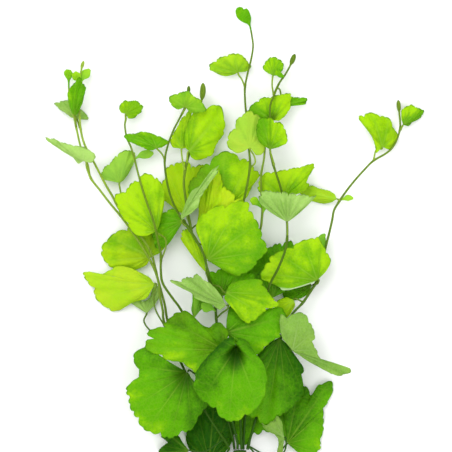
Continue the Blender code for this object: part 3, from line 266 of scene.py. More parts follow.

# Each leaf: hub where the petiole joins, tip and the two sides (a, b) that its blade is stretched over,
# then its rim seen from above, from the tip to the notch on each side; then its form, stem and looks.
# bulge and funnel: heights in mm of its dome and of the hollow at its hub. back: as BLADE_BACK.
# look: its tone, partly its own colour and partly painted light and shade for how lit the leaf lies among the
# others, how warm it is and how shaded at its hub. faded: how faded it looks.
# lean: painted light and shade across the blade, how much brighter it gets toward its side a and toward its
# tip. under: its lower face is up.
# curl: from where to where its rim curls up, 0 at the notch on side b and 1 at the notch on side a.
LEAVES = in_mm({
    "leaf_far_left_folded": dict(
        hub=(75.5, 116, 9.2), tip=(80, 79, 11), a=(69, 98, 9.2), b=(85, 95, 12.2),
        rim_a=[(76, 84), (71.5, 88.5), (69, 94), (68.5, 101), (70.5, 108), (73, 113.5)],
        rim_b=[(83, 83), (85.5, 90), (84, 97), (83, 103.5), (80.5, 109), (78, 114)],
        stem="stem_far_left", petiole=[(76.5, 127, 7.6)], look=(0.45, 0.0, 0.2), lean=(0.15, 0.0),
        slot="leaf_dark"),
    "leaf_far_left_behind": dict(
        hub=(77, 119, 4.4), tip=(74, 104, 1.7), a=(56, 105, 1.8), b=(88, 117, 2),
        rim_a=[(66, 101.5), (60, 102.5), (55.5, 104.5), (60, 109.5), (66, 113.5), (71, 117.5)],
        rim_b=[(80, 109), (84, 112.5), (88, 116.5), (87.5, 119.5), (82, 119.8)],
        back=0.5, under=True, stem="stem_left", petiole=[(80, 128, 7)], look=(0.55, 0.1, 0.0)),
    "leaf_far_left_pale": dict(
        hub=(84, 161, 11.4), tip=(47, 138, 9.5), a=(75, 158, 8.4), b=(93, 153, 13),
        rim_a=[(52, 143.5), (60, 148.7), (67, 153), (75, 158.5), (78, 164)],
        rim_b=[(55, 140), (62, 142.5), (69, 145), (80, 146.5), (88, 149.5), (95.5, 156), (92.5, 163)],
        back=0.3, under=True, stem="stem_far_left", petiole=[(87, 168, 9.6), (91, 179, 9)],
        look=(0.9, 0.0, 0.0)),
    "leaf_left_round": dict(
        hub=(126, 114, 5.5), tip=(131, 101.5, 7), a=(120, 109, 4), b=(141.5, 109, 6.5),
        rim_a=[(126, 101.3), (122, 103.5), (119.8, 108.5), (121, 112.5)],
        rim_b=[(135.5, 100.8), (139, 103), (142, 107), (141.3, 111.5), (137.5, 115), (133.5, 118.3),
        (128.5, 118.6)],
        stem="stem_left_center", petiole=[(126, 119.5, 5)], look=(0.6, 0.1, 0.2), slot="leaf_dark"),
    "leaf_left_dark": dict(
        hub=(157, 148.5, 10), tip=(151, 134, 7), a=(127, 137, 8.6), b=(169, 142.5, 9.8),
        rim_a=[(143, 133), (135, 134), (126.5, 136.5), (130, 142), (136, 144.5), (142, 147.5), (148, 150),
        (153, 150.7)],
        rim_b=[(158, 136.3), (164, 139.3), (169.5, 142.3), (166, 144.7), (162, 148)],
        back=0.6, stem="stem_center_left", petiole=[(162, 154, 12), (165, 160, 13.5)], look=(0.6, 0.0, 0.1),
        slot="leaf_dark"),
    "leaf_left_petiole": dict(
        hub=(120, 183, 5.5), tip=(129, 152, 4.8), a=(102, 174, 4), b=(132, 168, 3.6),
        rim_a=[(122, 153.5), (116.5, 156.5), (112, 162.5), (104.5, 168), (101.5, 175), (104, 180)],
        rim_b=[(134, 153.5), (134.5, 161), (131.5, 168), (128, 174.5), (124, 180)],
        back=0.5, stem="stem_left", petiole=[(121, 195, 7), (120, 210, 8.5)], look=(0.75, 0.1, 0.0),
        faded=0.6),
    "leaf_left_big": dict(
        hub=(157, 231, 13.6), tip=(150, 177, 14.5), a=(117, 205, 13.5), b=(164.5, 205, 13),
        rim_a=[(143, 177.8), (137, 181), (131, 187), (124, 193), (116.5, 197.5), (119.5, 208), (124, 217),
        (130, 226), (137, 234.5), (147, 236)],
        rim_b=[(156, 179), (163.5, 190), (164.5, 198), (163.5, 208), (160.5, 221)],
        back=0.3, stem="stem_left_center", petiole=[(165, 238, 12.2), (166, 247, 12.2), (162, 258, 11.8)],
        look=(0.9, 0.15, 0.05), lean=(0.1, 0.0)),
    "leaf_left_behind": dict(
        hub=(183, 221, 10.2), tip=(153, 236, 8), a=(168, 210.5, 9.2), b=(171, 240.5, 8.5),
        rim_a=[(156, 222), (163.5, 213.5), (173, 209.3), (179, 214)],
        rim_b=[(158, 247), (166, 245.5), (171.5, 240), (175, 234.5), (180, 227)],
        stem="stem_center_left", petiole=[(186.5, 225, 16.2)], look=(0.52, 0.0, 0.1), slot="leaf_dark"),
    "leaf_left_yellow": dict(
        hub=(151, 257, 5), tip=(102, 251, 2.3), a=(138, 226, 3), b=(133, 270, 2.3),
        rim_a=[(105, 244.5), (111, 239), (117, 233.5), (127, 229), (138, 226), (151, 230), (161, 238),
        (164.5, 247), (159, 253.5)],
        rim_b=[(104.5, 258), (109, 264), (113, 268.5), (122, 271.5), (133, 270), (141, 267.5), (147, 265)],
        back=0.4, stem="stem_left", petiole=[(156, 272, 11.3)], look=(0.66, 0.3, 0.1), lean=(-0.1, 0.0)),
    "leaf_left_bright": dict(
        hub=(155, 284, 7.9), tip=(91, 280, 2.6), a=(131, 267, 5.9), b=(122, 309, 2.4),
        rim_a=[(86.5, 271.5), (104, 274), (110, 269.5), (120, 266), (133, 268.5), (141, 272.5),
        (150, 277.5)],
        rim_b=[(94, 287), (99, 297), (105, 304.5), (111, 309.7), (119, 310), (126, 306.5), (133, 302.5),
        (148, 297.5)],
        back=0.35, stem="stem_far_left", petiole=[(154, 296, 9), (156, 310, 10.5), (165, 326, 13)],
        look=(1.05, 0.4, 0.0), faded=0.1, lean=(-0.1, 0.0)),
    "leaf_left_underside": dict(
        hub=(147, 313, 2.6), tip=(150, 297, 1.9), a=(132, 303, 0.6), b=(159, 294, 2.2),
        rim_a=[(144, 301.5), (137, 299.5), (131.5, 302.7), (138.5, 308)],
        rim_b=[(152.5, 289), (155, 283.5), (158.5, 291), (159, 297.5), (154.5, 305.5)],
        bulge=0.4, back=0.4, under=True, stem="stem_far_left",
        petiole=[(144, 321, 4), (149, 329, 7.5), (158, 334, 10.6), (168, 334, 12.7)], look=(0.76, 0.1, 0.0)),
    "leaf_center_left_top": dict(
        hub=(185.5, 107.5, 15.5), tip=(188, 91.8, 17.5), a=(170.5, 100, 16), b=(203, 105, 16),
        rim_a=[(182, 93.3), (176, 95), (171, 97.5), (170.3, 102.5), (173.5, 107), (178, 110)],
        rim_b=[(191, 94.5), (196, 98), (200.5, 100.5), (203.5, 106), (204.5, 111), (197, 113.3),
        (190.5, 113)],
        back=0.5, stem="stem_center_left", petiole=[(182.5, 114, 12.8)], look=(0.62, 0.15, 0.2), faded=0.15),
    "leaf_center_left_big": dict(
        hub=(189, 151.5, 11), tip=(214, 107.3, 8.5), a=(184.5, 135, 10), b=(215, 147, 7),
        rim_a=[(205, 110), (196, 112.5), (190.5, 118), (187, 127), (184.3, 137), (186, 148.5)],
        rim_b=[(220, 110.5), (222, 119), (223.7, 128), (222.5, 135), (218, 141.5), (214.5, 149), (210, 156),
        (197, 159.8), (191, 157.5)],
        back=0.3, stem="stem_center_fork", petiole=[(187, 162, 10.5)], look=(0.82, 0.1, 0.1),
        lean=(-0.12, 0.0)),
    "leaf_center_left_side": dict(
        hub=(182, 149, 9), tip=(190, 113, 8), a=(172, 140, 6.6), b=(193, 135, 6.8),
        rim_a=[(185.5, 115.5), (180.5, 121), (177, 128), (173, 135.5), (171, 142), (173, 147.7)],
        rim_b=[(194, 120), (196, 132), (190, 143), (186, 148)],
        bulge=0.6, stem="stem_center_fork", petiole=[(183, 163, 12.4), (185, 170, 12)],
        look=(0.85, 0.2, 0.1)),
    "leaf_center_left_yellow": dict(
        hub=(187, 216, 6.1), tip=(180, 163.5, 2.8), a=(164, 192, 2.5), b=(206, 185, 2.4),
        rim_a=[(175, 164.5), (170.5, 167), (166.5, 172), (166, 180), (162.5, 188), (164, 199), (170, 204.5),
        (177, 211)],
        rim_b=[(186, 163), (190.5, 164.5), (194.5, 169), (201, 167.5), (207.5, 169), (204, 188), (196, 204)],
        stem="stem_center_left", petiole=[(189, 222, 9), (190, 228, 14)], look=(1.05, 0.3, 0.1)),
    "leaf_center_strip": dict(
        hub=(206, 272, 13.5), tip=(185, 231, 8.6), a=(185, 254, 9), b=(203, 248, 11),
        rim_a=[(181.5, 239), (187, 248), (192, 255), (199, 264.5)],
        rim_b=[(191, 231), (199, 243), (205, 258)],
        stem="stem_center_left", petiole=[(208, 278, 18), (210, 284, 19)], look=(0.85, 0.2, 0.0)),
    "leaf_center_upper": dict(
        hub=(222, 212, 9.5), tip=(231, 156.3, 7.5), a=(190, 192, 8), b=(254, 186, 8.5),
        rim_a=[(224, 156.3), (216, 159), (208, 164.5), (199, 173), (191, 182), (188.5, 192), (195, 206)],
        rim_b=[(239, 158.8), (246.5, 162), (253, 168.5), (258.5, 175), (255.5, 181.5), (250, 189),
        (246, 199)],
        back=0.3, stem="stem_center_left", petiole=[(206, 219, 8.3), (195, 226, 9), (189.5, 231, 15)],
        look=(0.64, 0.1, 0.1), lean=(-0.4, 0.0)),
    "leaf_center_edge": dict(
        hub=(182, 220, 19.5), tip=(218, 167, 16), a=(192, 198, 16), b=(199, 204, 21.5),
        rim_a=[(212, 173), (205, 182), (196, 190.5), (191, 197), (187, 205), (182, 213)],
        rim_b=[(215, 177), (208, 187), (203, 194), (199, 204), (192, 214)],
        back=0.3, under=True, stem="stem_center_left", petiole=[(186, 226, 17)], look=(0.7, 0.0, 0.0)),
    "leaf_center_bright": dict(
        hub=(203, 243, 14.5), tip=(217, 170, 11.6), a=(199, 203, 11.6), b=(236, 205, 15),
        rim_a=[(210, 184), (202.5, 193), (199.3, 203), (199, 214), (197.5, 222), (197, 230)],
        rim_b=[(221, 180), (226, 190), (234, 197.5), (241, 205), (240, 220), (225, 237)],
        back=0.25, stem="stem_center_left", petiole=[(196.5, 242, 19)], look=(1.35, 0.42, 0.0)),
    "leaf_center_largest": dict(
        hub=(207, 260, 20), tip=(251.5, 217.5, 17.5), a=(199, 219, 17.5), b=(253, 265.5, 18),
        rim_a=[(247.5, 206.5), (238, 205.3), (228, 206.5), (217, 209), (206, 213), (199, 219), (195.5, 229)],
        rim_b=[(260, 233), (263, 242), (266, 249.5), (260, 257.5), (252, 266.5), (240, 274.8), (231, 274),
        (223.5, 270)],
        back=0.33, bulge=2.5, stem="stem_center_left", petiole=[(209, 272, 24)], look=(0.72, 0.05, 0.2),
        lean=(0.2, 0.0)),
    "leaf_tall_side": dict(
        hub=(238, 72.5, 5), tip=(234, 54.8, 9), a=(211, 68, 4.5), b=(250, 66, 3.4),
        rim_a=[(227, 56), (219, 59.3), (212.5, 63.5), (210.5, 69), (216, 72.8), (222, 75.5), (227, 76),
        (233, 74.5)],
        rim_b=[(240, 55), (244, 58), (248.5, 63), (250.8, 67), (247.5, 70.7)],
        back=0.34, stem="stem_tall", petiole=[(242, 80, 5), (245, 88, 6.8)], look=(0.82, 0.3, 0.1),
        faded=0.1),
    "leaf_tall_pale": dict(
        hub=(250, 148, 14.5), tip=(248.5, 112.3, 14), a=(230, 138, 12.5), b=(264, 136, 13),
        rim_a=[(242.5, 116.3), (237, 121), (235.3, 128), (231, 133.5), (227.8, 140), (229, 146.5),
        (233.5, 151), (238, 153.2), (242, 152.5)],
        rim_b=[(253, 113.5), (260, 121), (264, 142), (264.5, 150), (261, 154.7), (256, 155.7)],
        back=0.35, stem="stem_tall", petiole=[(254, 156, 12.5), (255, 163, 12.3), (250, 168, 13.4)],
        look=(1.0, 0.6, 0.0), faded=0.45),
    "leaf_tall_green": dict(
        hub=(272, 120.5, 9), tip=(270.5, 98, 8.8), a=(250, 112, 9.6), b=(290, 105, 8),
        rim_a=[(264, 98.7), (259.5, 100.5), (254.5, 104.8), (249.7, 111.5), (251.5, 117.5), (260, 122)],
        rim_b=[(277, 95.8), (284.5, 94.8), (291.3, 95), (289.7, 102.5), (289.3, 109), (285, 115.5),
        (279, 121)],
        back=0.4, stem="stem_center_right", petiole=[(269, 128, 10), (265.5, 136, 12.2)],
        look=(0.78, 0.05, 0.6), lean=(-0.35, 0.0)),
    "leaf_tall_light": dict(
        hub=(279, 106, 5.4), tip=(305, 101, 5.4), a=(291, 97, 6.2), b=(291, 106.5, 4.4),
        rim_a=[(304.3, 98.4), (298, 98), (291, 97.2), (282, 100)],
        rim_b=[(304.5, 103.8), (298, 105), (291, 106.5), (284, 109)],
        bulge=0.4, back=0.4, stem="stem_right_center", petiole=[(280.5, 98, 6), (280, 90.5, 7)],
        look=(0.54, 0.0, 0.2)),
    "leaf_tall_front": dict(
        hub=(270, 149.5, 15.5), tip=(270, 119.5, 18), a=(257, 134, 19), b=(286, 138, 18),
        rim_a=[(264.5, 118.8), (259.5, 120), (257, 126), (256.5, 133), (258, 139.5), (262, 145.5)],
        rim_b=[(276, 124), (281, 125.3), (284, 129), (285.8, 135), (286.7, 142.5), (279, 147)],
        back=0.2, stem="stem_right_center", petiole=[(272, 158, 14.6), (274, 165, 14.6)],
        look=(0.68, 0.05, 0.3), lean=(-0.3, 0.0)),
    "leaf_tall_small": dict(
        hub=(273, 76, 6), tip=(274, 57.5, 4.6), a=(264, 68, 4.4), b=(283, 67, 6.5),
        rim_a=[(269.5, 58.8), (266, 62), (263.6, 69), (267, 72.7)],
        rim_b=[(278, 59.5), (282, 63), (283, 68.5), (278.5, 76)],
        back=0.3, stem="stem_right_center", petiole=[(272, 86, 7.6), (273.5, 95, 10)],
        look=(0.74, 0.0, 0.1)),
    "leaf_right_center_bright": dict(
        hub=(283, 199, 10.5), tip=(313, 164.5, 8), a=(262, 178, 10), b=(307, 186, 9),
        rim_a=[(306, 166.3), (298, 168.5), (284, 171.3), (277, 173.5), (269, 173), (264, 176), (259.5, 182),
        (258, 189), (263, 196)],
        rim_b=[(315, 166.5), (311.5, 171.2), (306.5, 180), (308, 186), (303, 192)],
        stem="stem_right_center", petiole=[(286, 210, 14.5)], look=(0.75, 0.15, 0.1), lean=(0.15, 0.0)),
    "leaf_right_center_long": dict(
        hub=(337, 199, 6.1), tip=(301, 191, 1.7), a=(325, 190, 3.4), b=(324, 204, 1.9),
        rim_a=[(304, 186.5), (312, 185.8), (320, 188.7), (328, 190.5), (334.5, 194)],
        rim_b=[(305, 197), (314, 201.5), (323, 203.7), (331, 202.5)],
        back=0.3, bulge=0.6, stem="stem_far_right", petiole=[(339.5, 201, 6.5)], look=(1.3, 0.35, 0.0),
        faded=0.15),
    "leaf_right_center_funnel": dict(
        hub=(287, 222, 17.5), tip=(287, 194, 25), a=(261, 196, 18), b=(314, 198, 18),
        rim_a=[(275, 192), (263, 192.5), (260.5, 197), (261, 204)],
        rim_b=[(298, 195.3), (306, 196.2), (314.5, 197.3), (312, 200)],
        back=0.12, under=True, stem="stem_right_center", petiole=[(287, 232, 17.5), (287, 240, 17.4)],
        look=(0.72, 0.0, 0.0)),
    "leaf_far_right_tip": dict(
        hub=(403, 125, 3.6), tip=(421, 109.5, 2.6), a=(402, 111, 4.4), b=(412, 123, 2.2),
        rim_a=[(415, 107.3), (411, 105.7), (406.5, 107.2), (401.8, 110), (401, 119)],
        rim_b=[(422.8, 111.5), (419.5, 118.5), (413, 121.5), (408.5, 126.2)],
        stem="stem_far_right", petiole=[(400.3, 130, 3.6)], look=(0.6, 0.05, 0.2), lean=(0.35, 0.0)),
    "leaf_far_right_triangle": dict(
        hub=(382, 147, 4.4), tip=(377.5, 116, 5.4), a=(360, 119, 7), b=(397, 135, 1),
        rim_a=[(372, 114.8), (365, 115.4), (360.3, 116.3), (359.3, 119.5), (366, 128.7), (371.5, 136.5),
        (375, 146), (376, 153.5)],
        rim_b=[(384, 117), (388.5, 119), (392, 126), (397, 135.5), (395, 142), (389, 150)],
        back=0.3, stem="stem_far_right", petiole=[(376, 150, 4.2), (373.5, 160, 4.5)],
        look=(0.9, 0.12, 0.1)),
    "leaf_right_big": dict(
        hub=(317, 280, 11), tip=(262.5, 275, 13.5), a=(305, 243, 12.5), b=(297, 288, 11.8),
        rim_a=[(266, 268), (269, 259.5), (283, 252), (292, 247), (306, 241.5), (316.5, 237.5), (321, 244),
        (325, 250), (330, 261), (327, 269.5)],
        rim_b=[(266, 280.5), (277, 285), (284, 290), (294, 288.5), (304, 285.5)],
        back=0.5, bulge=1.5, stem="stem_far_right", petiole=[(317, 284, 8.6)], look=(0.72, 0.1, 0.2),
        lean=(0.1, 0.0), curl=(-0.05, 0.19)),
    "leaf_right_behind": dict(
        hub=(272, 298, 11), tip=(279, 245.3, 7), a=(250, 275, 8), b=(293, 268, 6),
        rim_a=[(270, 248.6), (265, 248.3), (256, 258), (248, 272), (250, 285), (261, 295)],
        rim_b=[(287, 243.7), (292, 247), (296, 258), (294, 275), (284, 292)],
        back=0.3, stem="stem_right_center", petiole=[(266, 304, 14.5)], look=(0.3, 0.0, 0.2),
        slot="leaf_dark"),
    "leaf_right_dark_small": dict(
        hub=(312, 285, 5.6), tip=(283, 294, 2.3), a=(297, 279, 5.7), b=(300, 298.5, 2.2),
        rim_a=[(284, 286), (292, 280), (303, 278)],
        rim_b=[(284.5, 299.5), (292, 300), (299, 298.7), (307, 294.5)],
        stem="stem_far_right", petiole=[(311, 290, 9.5)], look=(0.26, 0.0, 0.1), slot="leaf_dark"),
    "leaf_right_low_bright": dict(
        hub=(294, 300, 9), tip=(284, 317.5, 10), a=(279, 304, 8), b=(293, 311, 8),
        rim_a=[(280.5, 314), (277.5, 307), (278, 300.5), (286, 297)],
        rim_b=[(288.5, 316), (292, 311), (295, 305)],
        stem="stem_far_right", petiole=[(303, 302, 11)], look=(0.98, 0.15, 0.0)),
    "leaf_middle_yellow": dict(
        hub=(226, 292, 23), tip=(277, 303.5, 20), a=(255, 279.5, 21), b=(246, 320, 23.5),
        rim_a=[(270, 296.5), (264.5, 288), (260, 280), (249, 279.3), (236, 281.5), (229, 285)],
        rim_b=[(267, 308), (259, 312.5), (250, 321.7), (242, 318.7), (235, 311), (229, 304.5), (224, 298)],
        back=0.3, stem="stem_center_left", petiole=[(219, 286, 22), (211, 285, 19.5)],
        look=(0.66, 0.1, 0.1), lean=(-0.2, 0.1)),
    "leaf_middle_band": dict(
        hub=(226, 305, 23), tip=(172, 281.8, 16), a=(206, 283, 24.5), b=(204, 301, 20),
        rim_a=[(182, 279.5), (193, 277.5), (199.5, 275), (207, 281.5), (214, 288), (222, 295.5)],
        rim_b=[(182, 287), (193, 292), (196.5, 297.5), (205, 300.8), (213, 304.5), (220, 309.5)],
        back=0.2, under=True, stem="stem_center_left",
        petiole=[(227, 309, 21.5), (222, 312.5, 19.3), (216.5, 318, 14.5)], look=(0.65, 0.0, 0.0)),
    "leaf_middle_dark": dict(
        hub=(222, 296, 16), tip=(222, 270, 15.3), a=(210, 276, 15), b=(246, 278, 15.6),
        rim_a=[(216, 272), (209.3, 274), (210, 284), (214, 291)],
        rim_b=[(232, 268), (245, 270), (253, 278), (240, 289)],
        stem="stem_center_left", petiole=[(218, 302, 14.5), (215, 308, 15)], look=(0.36, 0.0, 0.1),
        slot="leaf_dark"),
    "leaf_middle_vertical": dict(
        hub=(194, 318, 14), tip=(197, 284, 11.5), a=(191, 301, 11), b=(204, 301, 12),
        rim_a=[(193.2, 290), (192.8, 300), (191.5, 309)],
        rim_b=[(203, 288), (206, 297), (203, 308)],
        stem="stem_center_left", petiole=[(196, 326, 13), (206, 345, 12.5), (221, 355, 13)],
        look=(0.38, 0.0, 0.1), faded=0.2, slot="leaf_dark"),
    "leaf_low_left": dict(
        hub=(225, 350, 22), tip=(150, 340, 19.5), a=(187, 309, 19.5), b=(186, 367, 21.5),
        rim_a=[(151.5, 333), (159, 328.5), (169, 321), (176, 313.5), (184, 311), (191.5, 314), (206, 327),
        (219, 323.5), (229, 332)],
        rim_b=[(152, 349.5), (161, 354.5), (171, 359.5), (184, 361.5), (197, 372), (214, 370)],
        back=0.22, bulge=2, stem="stem_center_left",
        petiole=[(228, 354, 18), (225, 361, 14), (222, 366, 13)], look=(0.42, 0.05, 0.0),
        lean=(-0.25, 0.05)),
    "leaf_low_left_round": dict(
        hub=(187.5, 372, 17.5), tip=(150, 430, 13.5), a=(134, 378, 15), b=(203, 408, 15),
        rim_a=[(141, 423), (134, 407), (130, 390), (137, 378), (142, 371.5), (135.5, 356), (146, 344.5)],
        rim_b=[(162, 434.5), (178, 431.7), (192, 424), (203, 408), (207.5, 399), (196, 383)],
        back=0.55, bulge=3, funnel=2, stem="stem_left_center",
        petiole=[(191, 370.5, 13.2), (200, 377, 11.5), (214, 386, 9.3)], look=(0.44, 0.0, 0.7),
        lean=(0.15, 0.25)),
    "leaf_low_front": dict(
        hub=(236, 347, 29), tip=(233, 416.7, 26), a=(197, 380, 28), b=(266, 376, 30),
        rim_a=[(220, 411.5), (209, 400), (197, 388), (195, 376), (205, 360), (217, 346), (225.5, 338.5),
        (233.5, 336)],
        rim_b=[(244, 414.5), (256, 406), (264, 393), (266.3, 379), (262, 362), (251.5, 348), (245.5, 340),
        (238.3, 336.5)],
        back=0.45, bulge=3, funnel=4, stem="stem_tall", petiole=[(238, 353, 18), (237, 360, 11)],
        look=(0.42, 0.0, 0.95), lean=(-0.12, 0.25)),
    "leaf_low_behind": dict(
        hub=(226, 332, 19.3), tip=(281, 322, 17.8), a=(236, 311, 17.5), b=(250, 350, 20),
        rim_a=[(281, 312), (275, 307.3), (262, 311), (249, 317), (239, 312), (230, 307), (227, 317)],
        rim_b=[(280.3, 334), (270, 340), (263, 347.5), (255, 353), (243, 347), (232, 342)],
        back=0.25, stem="stem_center_left", petiole=[(221, 333, 17), (218, 337, 14)], look=(0.42, 0.0, 0.2),
        lean=(-0.1, 0.1), slot="leaf_dark"),
    "leaf_low_right_dark": dict(
        hub=(279.5, 337, 14.5), tip=(266, 420, 11.5), a=(302, 372, 13.5), b=(246, 386, 13.5),
        rim_a=[(280, 414), (291, 406), (299, 397), (302, 388), (301.5, 377), (302, 366), (296.5, 357.5),
        (288, 345)],
        rim_b=[(251, 411), (244, 396), (244, 380), (256, 357), (269, 342.5)],
        bulge=1, stem="stem_far_right", petiole=[(279, 344, 12.4)], look=(0.3, 0.0, 0.3), lean=(-0.1, 0.3),
        slot="leaf_dark"),
    "leaf_low_right_pale": dict(
        hub=(292, 350, 18), tip=(343, 372, 14), a=(307, 325, 18.5), b=(300, 357.5, 19),
        rim_a=[(346.5, 367), (320, 358), (315.5, 350), (311.5, 341.5), (313.7, 337.5), (310.5, 326),
        (305, 316.3), (297, 314.3), (288, 316.7), (281, 315.5), (280, 327), (281.5, 337.5)],
        rim_b=[(335, 374.5), (324, 369.3), (308, 360.8)],
        back=0.7, bulge=0.8, under=True, stem="stem_far_right",
        petiole=[(289.5, 344, 15.9), (286.5, 336, 14.6), (284.5, 330, 13)], look=(0.32, 0.1, 0.0)),
    "leaf_low_right": dict(
        hub=(287, 443, 3.6), tip=(329, 384.7, 1.8), a=(283, 395, 2.4), b=(323, 430, 1.5),
        rim_a=[(320, 386.5), (316, 388), (311.5, 394), (303, 388.7), (286, 392), (274, 408), (275, 430)],
        rim_b=[(331.3, 392), (326.5, 404), (322, 410), (323.7, 427), (319, 440), (320.5, 447), (304, 458)],
        back=0.5, stem="stem_far_right", petiole=[(276, 455, 2.8), (262, 453, 3.1), (251, 447, 4.4)],
        look=(0.32, 0.0, 0.1), lean=(-0.15, -0.1), slot="leaf_dark"),
    "leaf_low_right_curl": dict(
        hub=(284, 437, 10.6), tip=(261, 420.5, 9.8), a=(275, 416, 10.2), b=(277, 437, 9),
        rim_a=[(269, 415.3), (276.5, 415), (282, 422)],
        rim_b=[(267, 430), (273, 432.5), (277.5, 437.5), (278.5, 444), (277.5, 451.5), (283, 452)],
        bulge=0.5, back=0.5, under=True, stem="stem_far_right",
        petiole=[(285, 449, 9.4), (277, 459, 8.6), (262, 459, 8), (249.5, 447, 6.8)], look=(0.34, 0.1, 0.0)),
    "leaf_low_back": dict(
        hub=(209, 462, 3.6), tip=(213, 396, 1.6), a=(188, 432, 1.6), b=(240, 424, 1.6),
        rim_a=[(200, 398), (190, 414), (188, 430), (188.5, 446), (197, 458)],
        rim_b=[(228, 402), (240, 413), (241, 421.5), (234, 433.5), (230, 445), (221, 457)],
        back=0.2, bulge=0.6, stem="stem_far_left", petiole=[(217, 463, 3.4), (227, 452, 5)],
        look=(0.06, 0.0, 0.2), slot="leaf_dark"),
    "leaf_low_left_small": dict(
        hub=(189, 450, 7.1), tip=(160, 450, 2.1), a=(172, 433, 3.6), b=(174, 463, 2.3),
        rim_a=[(167.5, 442.5), (161, 435.5), (172, 430), (179, 436)],
        rim_b=[(161, 457), (168, 463.5), (180, 462)],
        stem="stem_far_left", petiole=[(205, 451, 7.5), (222, 440, 6.8)], look=(0.1, 0.0, 0.2),
        slot="leaf_dark"),
    "leaf_low_center_dark": dict(
        hub=(258, 384, 6.4), tip=(258, 432, 3.4), a=(278, 412, 6.1), b=(233, 412, 3.4),
        rim_a=[(264, 430.3), (273, 427.5), (279, 417), (279, 403), (269, 392)],
        rim_b=[(254, 430.5), (247, 441), (239, 441), (236.5, 428), (234, 412), (237, 397), (247, 388)],
        bulge=0.6, stem="stem_far_right", petiole=[(262, 384, 7.5), (265, 388, 9.5)], look=(0.3, 0.0, 0.2),
        slot="leaf_dark"),
})

# Young leaves that grow from a stem as one piece with it: their tone, how faded they look, and their
# middle line from the stem out, with half the blade's width in mm at each point.
YOUNG_LEAVES = in_mm({
    "far_left_bud": dict(stem="stem_far_left", look=(0.62, 0.1), points=[
        (69, 88, 5, 0.4), (69, 81, 5.5, 0.6), (69, 77, 6, 1.7), (68.5, 73, 6.5, 2.2), (69, 70, 7, 1.2)]),
    "far_left_cup": dict(stem="stem_left", look=(0.85, 0.15), points=[
        (80, 88, 6, 0.4), (80, 81, 6.4, 0.8), (77, 77, 6.8, 2.3), (74, 73, 7.4, 1.4)]),
    "far_left_cup_right": dict(stem="stem_left", look=(0.85, 0.3), points=[
        (80.3, 85, 6, 0.4), (82, 79, 5.6, 1.2), (86, 74, 5, 2.4), (90, 69.5, 4.6, 0.7)]),
    "left_center_young": dict(stem="stem_left_center", look=(0.8, 0.5), points=[
        (134.6, 160, 9.6, 0.4), (138, 157, 8, 0.7), (143, 155, 6.6, 2), (149, 154, 5, 2),
        (153.5, 153, 5, 0.6)]),
    "tall_tip": dict(stem="stem_tall", look=(0.46, 0.0), points=[
        (251.5, 33, 4.6, 0.4), (249.5, 25, 5, 0.6), (247, 20, 5.5, 2.4), (243, 14.5, 6, 3.4),
        (240.5, 10.5, 6.4, 2.6), (241, 7.5, 6.7, 0.8)]),
    "center_right_young": dict(stem="stem_center_right", look=(1.0, 0.2), points=[
        (262.2, 214, 13, 0.4), (264, 209, 13.3, 0.9), (266, 204, 13.6, 3), (270, 199, 14, 2.6),
        (274, 196, 14.3, 0.7)]),
    "center_right_young_left": dict(stem="stem_center_right", look=(0.85, 0.1), points=[
        (262, 208, 13, 0.4), (258, 204, 13.2, 1.2), (254, 201, 13.4, 2.2), (250, 200, 13.4, 0.7)]),
    "far_right_young": dict(stem="stem_far_right", look=(0.95, 0.35), points=[
        (340, 200, 6.6, 0.4), (343.5, 199, 6.3, 0.7), (347, 198, 6, 1.6), (350, 198, 5.8, 1.3),
        (353, 198.5, 5.6, 0.5)]),
    "far_right_dark_young": dict(stem="stem_far_right", look=(0.6, 0.3), points=[
        (324.6, 250, 7.8, 0.4), (323, 246, 7.2, 1.4), (321.5, 241, 6.6, 2.2), (322.5, 237, 6, 1.7),
        (325, 234, 5.8, 0.5)]),
    "right_center_young": dict(stem="stem_right_center", look=(0.8, 0.0), points=[
        (284, 77, 7, 0.4), (281, 76, 8, 1.2), (277.5, 73, 8.6, 1.3), (276, 71, 8.9, 0.4)]),
    "center_left_young": dict(stem="stem_center_left", look=(0.65, 0.3), points=[
        (215.5, 311, 14.8, 0.4), (213, 309, 15.2, 0.8), (209, 307, 15.5, 2.6), (204, 306, 15.7, 2.6),
        (201, 306, 15.8, 0.8)]),
})


def vec(values):
    """A place in mm, measured up from the cut end, as a vector from the middle of the bunch."""
    x, y, z = values[:3]
    return np.array((x, y - MIDDLE_Y, z), dtype=float)


def unit(vector):
    return vector / np.linalg.norm(vector)


def cross(a, b):
    return a[..., 0] * b[..., 1] - a[..., 1] * b[..., 0]


def lengths_along(line):
    return np.concatenate(([0], np.cumsum(np.linalg.norm(np.diff(line[:, :3], axis=0), axis=1))))


def smooth_path(points, step):
    """A smooth curve through the points, which may carry more than three values, read at equal steps."""
    points = [np.asarray(p, dtype=float) for p in points]
    ends = [2 * points[0] - points[1]] + points + [2 * points[-1] - points[-2]]
    dense = []
    for a, b, c, d in zip(ends, ends[1:], ends[2:], ends[3:]):
        for t in np.linspace(0, 1, CURVE_PARTS, endpoint=False):
            dense.append(0.5 * (2 * b + (c - a) * t + (2 * a - 5 * b + 4 * c - d) * t**2
                                + (3 * b - a - 3 * c + d) * t**3))
    dense = np.array(dense + [points[-1]])
    travelled = lengths_along(dense)
    wanted = np.linspace(0, travelled[-1], max(3, int(travelled[-1] / step) + 1))
    return np.stack([np.interp(wanted, travelled, dense[:, k]) for k in range(dense.shape[1])], axis=1)


def nearest_place(point, line):
    """The place on a polyline that is nearest to a point."""
    starts, steps = line[:-1], np.diff(line, axis=0)
    share = np.clip(((point - starts) * steps).sum(1) / (steps**2).sum(1), 0, 1)
    places = starts + share[:, None] * steps
    return places[np.linalg.norm(places - point, axis=1).argmin()]


